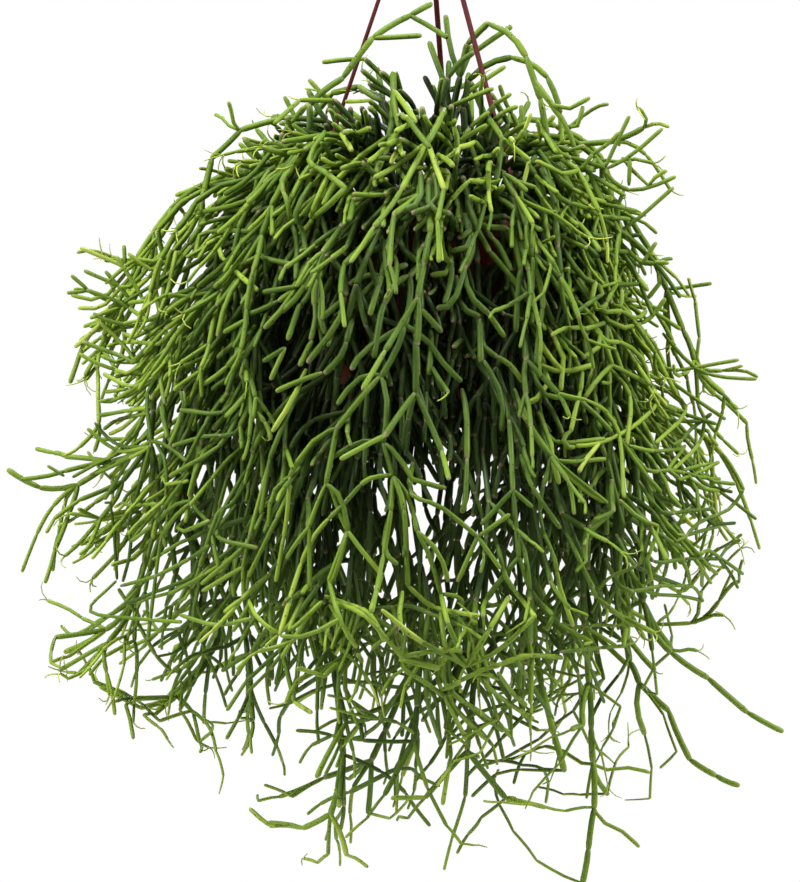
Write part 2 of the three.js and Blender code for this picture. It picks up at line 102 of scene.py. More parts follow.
def makeDraw(seed):  # the same even draws as in the solid model
    span = drawRule["span"]
    state = [seed % span]

    def draw(low=0, high=1):
        state[0] = (state[0] * drawRule["times"] + drawRule["plus"]) % span
        return low + ((high - low) * state[0]) / span

    for _ in range(drawRule["skip"]):
        draw()
    return draw


# how far out the mop reaches: height over the rim, left side, right side
outline = [
    (150, 4, 4), (125, 20, 20), (105, 46, 38), (80, 80, 60), (62, 104, 74), (40, 120, 92), (0, 142, 116),
    (-45, 172, 132), (-85, 186, 142), (-130, 192, 158), (-170, 192, 184), (-210, 190, 188), (-240, 196, 156),
    (-275, 192, 116), (-305, 156, 104), (-330, 112, 100), (-360, 90, 88), (-390, 56, 60), (-404, 5, 5),
]


def reachAt(p):
    z = p[2] - pot["rimZ"]
    if z >= outline[0][0]:
        return outline[0][1] - (z - outline[0][0]) * 2
    right = 0.5 + (0.5 * p[0]) / (away(p) + 1)
    for (za, la, ra), (zb, lb, rb) in zip(outline, outline[1:]):
        if z >= zb:
            f = (za - z) / (za - zb)
            return (la + (lb - la) * f) * (1 - right) + (ra + (rb - ra) * f) * right
    return -100


def overshoot(p):
    return away(p) - reachAt(p)


def edgeOf(p, deep):  # 0 inside, 1 where the outline is reached
    return max(0, min(1, (overshoot(p) + deep) / deep))


def turnedOf(p):  # 1 at the right flank, -1 at the left one
    return p[0] / (away(p) + 1)


def aheadOf(p):  # 1 in front, 0 from the flanks backwards
    return max(0, -p[1] / (away(p) + 1))


# the room that stems leave round the pot: over the rim, under the base, inside the wall, over the
# soil and outside
potRoom = {"over": 1.5, "under": 2, "inside": 5.5, "soil": 0.5, "skin": 2.5, "beside": 1}


def inPot(p, radius):
    rho, z, rimZ, room = away(p), p[2], pot["rimZ"], potRoom
    if z > rimZ + radius + room["over"] or z < rimZ - pot["height"] - radius - room["under"]:
        return False
    share = max(0, (rimZ - z) / pot["height"])
    outer = pot["rim"] + (pot["base"] - pot["rim"]) * share + room["skin"]
    if rho < pot["rim"] - room["inside"] - radius and z > soilZ + radius + room["soil"]:
        return False
    return rho < outer + radius + room["beside"]


class Thicket:  # small balls along every stem, filed by place
    def __init__(self, cell=10, widest=3.4):
        self.cell, self.widest, self.cells = cell, widest, {}

    def add(self, p, radius, owner):
        c, w = self.cell, radius + self.widest
        low = [math.floor((v - w) / c) for v in p]
        high = [math.floor((v + w) / c) for v in p]
        for i in range(low[0], high[0] + 1):
            for j in range(low[1], high[1] + 1):
                for k in range(low[2], high[2] + 1):
                    self.cells.setdefault((i, j, k), []).append((p, radius, owner))

    def free(self, p, radius, gap, kin=None):
        for q, r, owner in self.cells.get(tuple(math.floor(v / self.cell) for v in p), ()):
            if owner == kin:
                continue
            d = plus(p, q, -1)
            t = radius + r + gap
            if dot(d, d) < t * t:
                return False
        return True


def beads(points, spacing=3):
    out = []
    for a, b in zip(points, points[1:]):
        step = plus(b, a, -1)
        n = max(1, math.ceil(size(step) / spacing))
        out += [plus(a, step, k / n) for k in range(n)]
    return out + [points[-1]]


def settle(points, radius, thicket, owner):
    for b in beads(points):
        thicket.add(b, radius, owner)


def fits(points, radius, thicket, gap, slack, owner):
    for b in beads(points):
        if inPot(b, radius):
            return False
        far = size(plus(b, points[0], -1))
        if far >= fork["start"] and not thicket.free(b, radius, gap, owner if far < fork["own"] else None):
            return False
    return overshoot(points[-1]) < slack


def bezier(p, t):
    s = 1 - t
    return tuple(
        s * s * s * p[0][i] + 3 * s * s * t * p[1][i] + 3 * s * t * t * p[2][i] + t * t * t * p[3][i]
        for i in range(3)
    )


# how a main stem runs: how loosely it follows its row, and how much looser at each new try, how its
# arch bends, how long its joints are and how far they sway
stemRule = {
    "loose": 0.15, "looser": 0.05, "twist": 20, "rise": (-0.25, 0.4), "lift": 9, "reach": 0.12, "collar": 8,
    "bendIn": (0.1, 1.3, 12), "bendOut": (1.15, 0.9), "knots": 60, "joint": 44, "shorter": 10,
    "vary": (0.8, 1.2), "last": 1.5, "sway": 5, "swayFrom": 90,
}


def alongPath(path):  # the joints of a listed main stem, on a smooth line
    path = [(x, y, pot["rimZ"] + z) for x, y, z in path]
    foot = (path[0][0], path[0][1], soilZ - pot["rootDepth"])
    joints = []
    for i in range(len(path) - 1):
        before = path[i - 1] if i else foot
        after = path[i + 2] if i + 2 < len(path) else path[i + 1]
        ends = plus(path[i], path[i + 1])
        joints.append([path[i], plus(scaled(ends, 9 / 16), plus(before, after), -1 / 16), path[i + 1]])
    joints[0].insert(0, foot)
    return joints


def mainJoints(spray, draw, tries):
    if "path" in spray:
        return alongPath(spray["path"])
    r = stemRule
    j = min(1, r["loose"] + tries * r["looser"])
    a0 = math.radians(spray["az"])
    a1 = math.radians(spray["az"] + spray["swirl"] + draw(-r["twist"], r["twist"]) * j)
    am = (a0 * 2 + a1) / 3
    rise = spray["rise"] * (1 + draw(*r["rise"]) * j) + r["lift"] * j
    reach = spray["reach"] * (1 + draw(-r["reach"], r["reach"]) * j)
    root = spray["root"]

    def at(radius, angle, z):
        return (radius * math.cos(angle), radius * math.sin(angle), pot["rimZ"] + z)

    foot = at(root, a0, -pot["soilDrop"] - pot["rootDepth"])
    collar = at(root, a0, -pot["soilDrop"] + r["collar"])
    share, steep, over = r["bendIn"]
    past, lower = r["bendOut"]
    bend = (collar, at(root + (reach - root) * share, a0, rise * steep + over),
            at(reach * past, am, rise * lower), at(spray["tip"], a1, -spray["drop"]))
    n = r["knots"]
    points = [bezier(bend, i / n) for i in range(n + 1)]
    run = [0]
    for a, b in zip(points, points[1:]):
        run.append(run[-1] + size(plus(b, a, -1)))
    total = run[n]
    stops = [0]
    while True:
        at0 = stops[-1]
        step = (r["joint"] - (r["shorter"] * at0) / total) * draw(*r["vary"])
        if at0 + step * r["last"] > total:
            stops.append(total)
            break
        stops.append(at0 + step)

    def onCurve(s):
        i = 0
        while i < n - 1 and run[i + 1] < s:
            i += 1
        return plus(points[i], plus(points[i + 1], points[i], -1), (s - run[i]) / (run[i + 1] - run[i]))

    joints = []
    last = collar
    for k in range(1, len(stops)):
        s = stops[k]
        w = min(1, s / r["swayFrom"]) * r["sway"]
        shift = (draw(-w, w), draw(-w, w), draw(-w, w) * 0.5)
        end = plus(onCurve(s), shift)
        before = plus(last, onCurve(stops[k - 1]), -1)
        mid = plus(onCurve((s + stops[k - 1]) / 2), plus(before, shift), 0.5)
        joints.append([last, mid, end])
        last = end
    joints[0].insert(0, foot)
    return joints


def sideways(heading, p, angle):
    outward = unit((p[0], p[1], nearZero))
    u = plus(outward, heading, -dot(outward, heading))
    if dot(u, u) < 1e-4:
        u = plus((0, 0, 1), heading, -heading[2])
    u = unit(u)
    return plus(scaled(u, math.cos(angle)), cross(heading, u), math.sin(angle))


# side joints by their order away from the main stem
orders = {
    1: {"length": (30, 46), "radius": 1.8, "fork": (16, 44), "down": 0, "out": 0.04},
    2: {"length": (26, 40), "radius": 1.6, "fork": (16, 46), "down": 0, "out": 0.06},
    3: {"length": (20, 34), "radius": 1.4, "fork": (18, 50), "down": 0, "out": 0.07},
    4: {"length": (14, 26), "radius": 1.2, "fork": (18, 50), "down": 0, "out": 0.05},
    5: {"length": (8, 15), "radius": 0.7, "fork": (15, 45), "down": -0.12, "out": 0.1},
}
fork = {"start": 5.5, "own": 20}  # a side joint may touch any stem, then its own, for this far
droops = [(400, 0.05), (60, 0.08), (20, 0.2), (-60, 0.3), (-160, 0.15), (-240, 0.0), (-500, -0.05)]


def droopAt(p):
    z = p[2] - pot["rimZ"]
    for (za, a), (zb, b) in zip(droops, droops[1:]):
        if z >= zb:
            return a + (b - a) * (za - z) / (za - zb)
    return 0


# in the outermost layer, joints fork wider, are held up and point outward
shell = {"deep": 50, "fork": 12, "hold": 0.9, "out": 0.28}
cornerShare = 1.25  # the solid model's three-sided rods are this much wider at their corners
# side joints of the main stems: the gap they keep, how often a place is tried, how much shorter each
# try is, how far they sway, how many an end bears and one of the first joints, and how those that
# follow turn and pass the outline
sideRule = {"gap": 0.9, "tries": 10, "shorter": 0.03, "sway": 0.06, "atEnd": 2, "early": 1, "earlyJoints": 2,
            "turn": 2.2, "slack": 4}


def sprout(start, heading, order, turn, thicket, owner, draw, slack, steps):
    o, rule = orders[order], sideRule
    radius = o["radius"] * cornerShare
    edge = edgeOf(start, shell["deep"])
    for attempt in range(rule["tries"]):
        angle = math.radians(draw(*o["fork"]) + shell["fork"] * edge)
        side = sideways(heading, start, turn + attempt * nextTurn)
        d = unit(plus(scaled(heading, math.cos(angle)), side, math.sin(angle)))
        length = draw(*o["length"]) * (1 - rule["shorter"] * attempt)
        down = o["down"] + droopAt(start) * (1 - shell["hold"] * edge)
        outward = unit((start[0], start[1], nearZero))
        points = [start]
        for i in range(steps):
            lean = plus(d, (0, 0, -1), (down * 2) / steps)
            out = o["out"] + shell["out"] * edge + draw(-rule["sway"], rule["sway"])
            d = unit(plus(lean, outward, (out * 2) / steps))
            points.append(plus(points[i], d, length / steps))
        if fits(points, radius, thicket, rule["gap"], slack, owner):
            settle(points, radius, thicket, owner)
            return points, d
    return None


# main stems, placed one by one: points over the rim, first joint that branches, how far past the outline
# branches may go, joints that follow a branch
placed = [
    {"path": ((-40, -26, 0), (-66, -36, 36), (-71, -36, 71), (-51, -30, 88), (-33, -24, 113),
              (-10, -12, 128), (3, -4, 136)), "from": 3, "slack": 4, "more": 0},
    {"path": ((8, -12, 0), (6, -16, 50), (13, -16, 89), (29, -14, 105), (52, -12, 121)),
     "from": 4, "slack": 20, "more": 0},
    {"path": ((32, -10, 0), (24, -10, 50), (26, -10, 88), (52, -16, 102), (74, -18, 90),
              (82, -20, 68)), "from": 3, "slack": 6, "more": 0},
    {"path": ((46, 4, 0), (60, 8, 44), (88, 8, 50), (116, 6, 52), (134, 4, 60)),
     "from": 2, "slack": 22, "more": 1},
    {"path": ((-49, -21, 2), (-84, -38, 30), (-128, -42, 10), (-156, -34, -40), (-166, -28, -90),
              (-169, -24, -134), (-192, -22, -146), (-213, -22, -160), (-236, -20, -162), (-256, -18, -151)),
     "from": 4, "slack": 42, "more": 0},
    {"path": ((-50, 20, 2), (-80, 30, 28), (-120, 34, 0), (-148, 32, -60), (-160, 26, -120),
              (-170, 18, -180), (-180, 10, -231), (-198, 8, -250)), "from": 5, "slack": 42, "more": 1},
    {"path": ((52, -14, 2), (82, -26, 26), (110, -34, -14), (124, -36, -80), (130, -36, -150),
              (132, -34, -231), (149, -30, -262), (172, -26, -278), (196, -22, -299), (218, -20, -311)),
     "from": 4, "slack": 36, "more": 0},
    {"path": ((50, 18, 2), (80, 24, 24), (102, 26, -24), (112, 26, -100), (116, 22, -180),
              (122, 14, -250), (132, 10, -283), (150, 6, -300), (163, 4, -330), (193, 2, -346)),
     "from": 4, "slack": 46, "more": 0},
    {"path": ((44, -28, 2), (70, -58, 34), (78, -84, -16), (86, -92, -100), (92, -86, -195),
              (97, -76, -278), (100, -66, -326), (101, -62, -354), (94, -60, -400)),
     "from": 3, "slack": 34, "more": 1},
    {"path": ((53, 2, 2), (88, 2, 28), (124, -4, 8), (148, -8, -40), (165, -10, -84)),
     "from": 2, "slack": 40, "more": 0},
    {"path": ((-8, -50, 2), (-11, -78, 31), (-13, -98, -9), (-14, -106, -64), (-28, -112, -94),
              (-55, -114, -125), (-62, -114, -160), (-73, -114, -186)), "from": 2, "slack": 4, "more": 2},
    {"path": ((-34, 42, 2), (-56, 68, 24), (-88, 84, -6), (-106, 90, -70), (-114, 84, -150),
              (-122, 72, -225), (-136, 60, -268), (-156, 46, -294)), "from": 3, "slack": 26, "more": 1},
    {"path": ((-27, -44, 2), (-44, -74, 24), (-56, -92, -26), (-60, -96, -110), (-60, -88, -200),
              (-56, -78, -270), (-50, -66, -322), (-58, -60, -358)), "from": 3, "slack": 24, "more": 2},
    {"path": ((-46, 2, 2), (-78, 6, 40), (-120, 8, 34), (-154, 4, 14), (-178, 0, -20)),
     "from": 2, "slack": 26, "more": 1},
    {"path": ((14, -48, 2), (22, -78, 24), (30, -98, -26), (34, -106, -110), (36, -104, -200),
              (30, -98, -262), (24, -86, -318)), "from": 2, "slack": 8, "more": 2},
    {"path": ((6, 54, 2), (10, 82, 22), (16, 100, -30), (18, 104, -120), (10, 96, -220),
              (-14, 80, -290), (-34, 66, -335)), "from": 3, "slack": 14, "more": 1},
    {"path": ((30, -42, 2), (46, -72, 28), (54, -92, -14), (56, -102, -64), (60, -106, -116),
              (62, -112, -170), (62, -108, -225), (68, -98, -278), (82, -86, -330)),
     "from": 1, "slack": 8, "more": 1},
    {"path": ((-18, -34, 2), (-26, -62, 40), (-34, -92, 10), (-37, -92, -44), (-28, -94, -98),
              (-14, -102, -148), (-4, -108, -205), (-4, -102, -262), (-8, -90, -312)),
     "from": 1, "slack": 8, "more": 1},
]

# rings of main stems in the soil; a shape is rise, reach, drop and radius at the tip
rings = [
    {"root": 60, "count": 14, "first": 3,
     "shapes": ((14, 122, 150, 134), (18, 106, 225, 112), (16, 112, 70, 128), (14, 102, 250, 100))},
    {"root": 44, "count": 11, "first": 14,
     "shapes": ((44, 128, 110, 140), (32, 110, 195, 124), (50, 118, 30, 134), (30, 104, 235, 108))},
    {"root": 28, "count": 7, "first": 25,
     "shapes": ((66, 112, -15, 118), (56, 124, 70, 138), (72, 94, -40, 100))},
    {"root": 10, "count": 4, "first": 60, "more": 1, "shapes": ((98, 56, -70, 60), (84, 76, -50, 84))},
]
ragged = 10  # stems with this slack follow the ragged flanks instead
# how roots share out the rings, how much wider the mop is at its left, and how rows vary
ringRule = {"apart": 72, "offStrap": 7, "shift": 2, "tries": 60, "inner": 40, "wide": (1.05, 0.09),
            "rise": (0.85, 1.2), "reach": (0.95, 1.06), "drop": (0.9, 1.1), "tip": (0.92, 1.1), "swirl": 12}


def ringPoint(radius, angle, z):
    return (radius * math.cos(math.radians(angle)), radius * math.sin(math.radians(angle)), z)


def widened(wide, az):
    return wide[0] - wide[1] * math.cos(math.radians(az))


def sprayTable():
    rows = [dict(p) for p in placed]
    taken = [r["path"][0][:2] for r in rows]
    draw, rule = makeDraw(seeds["rings"]), ringRule
    for ring in rings:
        root, count, shapes = ring["root"], ring["count"], ring["shapes"]
        for i in range(count):
            rise, reach, drop, tip = shapes[i % len(shapes)]
            az = (ring["first"] + (360 * i) / count) % 360
            for _ in range(rule["tries"]):
                spot = ringPoint(root, az, 0)[:2]
                near = all((x - spot[0]) ** 2 + (y - spot[1]) ** 2 > rule["apart"] for x, y in taken)
                clear = all(abs((az - s + 540) % 360 - 180) > rule["offStrap"] for s in hanger["lugAngles"])
                if near and (clear or root < rule["inner"]):
                    break
                az += rule["shift"]
            taken.append(spot)
            wide = widened(rule["wide"], az)
            rows.append({
                "az": az, "root": root, "rise": rise * draw(*rule["rise"]),
                "reach": reach * draw(*rule["reach"]) * wide, "drop": drop * draw(*rule["drop"]),
                "tip": tip * draw(*rule["tip"]) * wide, "swirl": draw(-rule["swirl"], rule["swirl"]),
                "from": 0, "slack": ragged, "more": ring.get("more", 2),
            })
    return rows


# the room round a main stem, the gap and the tries it gets, how much of it is free of checks, and the
# room round its root, a strap and the hook
mainRule = {"radius": 2.7, "gap": 1, "tries": 60, "rooted": 30, "collar": 22, "strap": 2.4, "hook": 12}
mouth = {"wide": 50, "high": 12}  # joints this near the soil don't branch


def pointsOf(joints):
    return [p for part in joints for p in part]


def inMouth(p):
    return away(p) < mouth["wide"] and p[2] < pot["rimZ"] + mouth["high"]


def clearest(row, drawFor, rule, thicket):  # the try that meets the pot and other stems least
    best = None
    for attempt in range(rule["tries"]):
        joints = mainJoints(row, drawFor(attempt), attempt)
        line = beads(pointsOf(joints))
        bad = sum(size(plus(b, line[0], -1)) >= mainRule["rooted"]
                  and (inPot(b, rule["radius"]) or not thicket.free(b, rule["radius"], rule["gap"]))
                  for b in line)
        if best is None or bad < best[0]:
            best = (bad, joints)
        if not bad or "path" in row:
            break
    return best


def growMains(thicket):
    h, rule, rimZ = hanger, mainRule, pot["rimZ"]
    for angle in h["lugAngles"]:
        ends = [ringPoint(h["lugRing"], angle, rimZ - 1), ringPoint(h["hubRing"], angle, h["hubZ"] + 1)]
        settle(ends, rule["strap"], thicket, -1)
    settle([(0, 0, h["hubZ"] - 3), (0, 0, 0)], rule["hook"], thicket, -1)
    sprays = sprayTable()
    for n, s in enumerate(sprays):
        x, y = s["path"][0][:2] if "path" in s else ringPoint(s["root"], s["az"], 0)[:2]
        foot = soilZ - pot["rootDepth"]
        settle([(x, y, foot), (x, y, foot + rule["collar"])], rule["radius"], thicket, n)
    mains = []
    for n, spray in enumerate(sprays):
        perStem, perTry = seeds["mains"]
        seed = perStem * (n + 1)
        _, joints = clearest(spray, lambda attempt: makeDraw(seed + perTry * attempt), rule, thicket)
        settle(pointsOf(joints), rule["radius"], thicket, n)
        mains.append({"spray": spray, "joints": joints, "sides": [], "open": []})
    for n, stem in enumerate(mains):
        growSides(n, stem, thicket)
    return mains


def growSides(n, stem, thicket):
    spray, joints, rule = stem["spray"], stem["joints"], sideRule
    draw = makeDraw(seeds["sides"][0] * (n + 1) + seeds["sides"][1])
    turn = draw(0, fullTurn)
    for j, part in enumerate(joints):
        end, last = part[-1], j == len(joints) - 1
        share = (j + 1) / len(joints)
        if not last and (inMouth(end) or j < spray["from"]):
            continue
        heading = unit(plus(end, part[-2], -1))
        stem["open"].append((end, heading, 1, share))
        early = rule["early"] if j - spray["from"] < rule["earlyJoints"] else 0
        for _ in range(rule["atEnd"] if last else max(j % 2, early)):
            turn += nextTurn
            slack = spray["slack"] - rule["slack"]
            got = sprout(end, heading, 1, 2 * math.sin(turn), thicket, n, draw, slack, 2)
            if not got:
                continue
            side = [got[0]]
            stem["open"].append((got[0][-1], got[1], 2, share))
            for order in range(2, 2 + spray["more"]):
                way, slack = draw(-rule["turn"], rule["turn"]), spray["slack"] + rule["slack"]
                got = sprout(got[0][-1], got[1], order, way, thicket, n, draw, slack, 1)
                if not got:
                    break
                side.append(got[0])
                stem["open"].append((got[0][-1], got[1], order + 1, share))
            stem["sides"].append((side, share))


# finer joints, which only this file adds: how long and thick they are, how far they turn away
# from the joint before, and how many grow from an open end of each order
twigs = {
    1: {"length": (20, 34), "radius": 1.95, "fork": (26, 62), "count": (2.3, 4.2)},
    2: {"length": (17, 31), "radius": 1.85, "fork": (24, 58), "count": (1.2, 2.8)},
    3: {"length": (14, 27), "radius": 1.70, "fork": (22, 54), "count": (0.9, 2.4)},
    4: {"length": (11, 22), "radius": 1.50, "fork": (20, 50), "count": (0.5, 2.0)},
    5: {"length": (8, 16), "radius": 1.25, "fork": (18, 46), "count": (0.0, 1.3)},
}
# they may press into each other by the gap; "early" is how soon a joint takes its final way, "slimmer"
# is for the outline and for its right side, within "slimEdge" of it and below "slimTop"
growing = {
    "gap": -0.5, "tries": 7, "laps": 5, "steps": 4, "early": (0.2, 0.6, 0.9, 1.0), "stray": 0.26,
    "messy": 0.35, "slimmer": (0.21, 0.09), "slimEdge": 30, "slimTop": 60, "straight": 0.3,
    "straightTries": 3, "shorter": 0.04, "pull": (0.05, 0.45), "wisp": (30, 12), "open": (0.92, 0.08),
    "limit": -4,
}

# where joints come to point, by height over the rim: outward and down, first deep inside, then at
# the edge in front and last at the other edges
hangs = [(400, 0.3, -0.6, 0.5, -0.5, 0.5, -0.5), (120, 0.6, -0.35, 0.8, -0.25, 0.8, -0.25),
         (85, 0.8, 0.1, 0.95, 0, 0.95, -0.2), (40, 0.6, 0.6, 0.95, 0.2, 0.95, -0.1),
         (0, 0.35, 0.9, 0.8, 0.5, 0.95, -0.1), (-60, 0.14, 1, 0.6, 0.8, 0.95, 0.0),
         (-150, 0.1, 1, 0.5, 0.85, 0.9, 0.25), (-240, 0.15, 1, 0.6, 0.75, 0.85, 0.4),
         (-330, 0.3, 1, 0.7, 0.7, 0.7, 0.6), (-500, 0.3, 1, 0.7, 0.7, 0.7, 0.7)]
# how closely they grow, how thick and how unruly, by height over the rim
crowds = [(400, 0.1, 0.7, 1), (110, 0.1, 0.8, 1.1), (75, 0.26, 0.95, 1.15), (40, 0.56, 1, 1.1),
          (-60, 0.82, 1, 1), (-120, 0.82, 1, 0.9), (-170, 0.85, 0.95, 0.85), (-210, 0.75, 0.85, 1),
          (-245, 0.62, 0.75, 1.3), (-300, 0.5, 0.72, 1.4), (-500, 0.4, 0.7, 1.3)]

# short stems that hang close over the rim, others that fill the crown, and two groups at the flanks:
# how many, their roots, how high and far they arch and where they end
fillers = [
    {"count": 30, "root": 66, "first": 4, "rise": (12, 20), "reach": (88, 98), "drop": (50, 130),
     "tip": (86, 98)},
    {"count": 20, "root": 52, "first": 9, "rise": (26, 44), "reach": (92, 116), "drop": (0, 80),
     "tip": (96, 122)},
    {"count": 15, "root": 58, "first": 17, "rise": (16, 28), "reach": (92, 112), "drop": (190, 300),
     "tip": (66, 112)},
    {"count": 14, "root": 34, "first": 2, "rise": (48, 66), "reach": (70, 104), "drop": (-50, 0),
     "tip": (76, 112)},
    {"count": 9, "root": 60, "first": 150, "spread": 66, "rise": (24, 42), "reach": (128, 150),
     "drop": (10, 100), "tip": (140, 166)},
    {"count": 9, "root": 60, "first": -32, "spread": 64, "rise": (24, 40), "reach": (112, 130),
     "drop": (30, 180), "tip": (118, 146)},
]
fillerRule = {"radius": 1.9, "gap": -0.3, "tries": 14, "mostBad": 3, "wide": (1.04, 0.07), "shift": 3,
              "swirl": 16, "slack": 6, "owner": 1000}

# wisps past the rest of the outline, by where they end (across, forward and over the rim) and the
# order of the twigs that follow
wisps = [
    (130, -14, 71, 4), (149, -8, 60, 4), (151, 4, 22, 3), (141, -20, -6, 3), (157, 6, -43, 4),
    (120, 10, 50, 3), (138, -30, 36, 3), (133, 14, 8, 3), (150, -26, -22, 3), (112, -6, 74, 4),
    (-121, -20, 74, 4), (-130, 0, 68, 4), (-136, -16, 22, 3), (-150, 6, 8, 3), (-158, -14, 2, 3),
    (-213, -24, -18, 4), (-216, -10, -40, 3), (-210, -34, -77, 3), (-201, -20, -108, 3), (-205, 10, -60, 3),
    (-190, -40, -95, 3), (-183, -16, -22, 3), (-196, 4, -34, 3), (-195, -30, -62, 3), (-192, -6, -88, 3),
    (203, -16, -94, 4), (181, -30, -114, 3), (194, -24, -163, 4), (200, -6, -182, 3), (191, -30, -219, 3),
    (176, 10, -150, 3), (172, -36, -128, 3), (183, 20, -200, 3), (168, -10, -70, 3), (178, -14, -176, 3),
    (170, 0, -226, 3), (-247, -24, -213, 4), (-190, -30, -300, 3), (-180, -10, -316, 3), (-225, -20, -190, 3),
    (56, -62, -351, 4), (134, -62, -333, 4), (128, -58, -378, 5), (72, -50, -318, 3), (166, -14, -262, 3),
    (40, -64, -300, 3), (58, -56, -290, 3), (182, -20, -240, 3),
]
# how far a wisp may start from its end, how it bows and lifts, its joints' length and thickness
wispRule = {"farthest": 95, "lift": 0.18, "leave": 0.35, "arrive": 0.3, "joint": 25, "thick": (1.75, 0.5)}

# the photograph: millimetres to a pixel, the pot's axis and rim in pixels, the eye, the depths
# searched for the mop's front, how much slimmer stems are at the flanks, their radius by height over
# the rim, the length of a joint, and how near rows count as joined or else how far a lead goes
photo = {
    "scale": 0.617, "axis": 426, "rim": 225, "eye": (-16, -2600, -383), "depths": (-188, -40, 4),
    "skin": 2, "slim": 0.3, "width": [(400, 2.05), (-60, 1.95), (-150, 1.6), (-500, 1.35)],
    "joint": 34, "joined": 6, "lead": (16, 18),
}
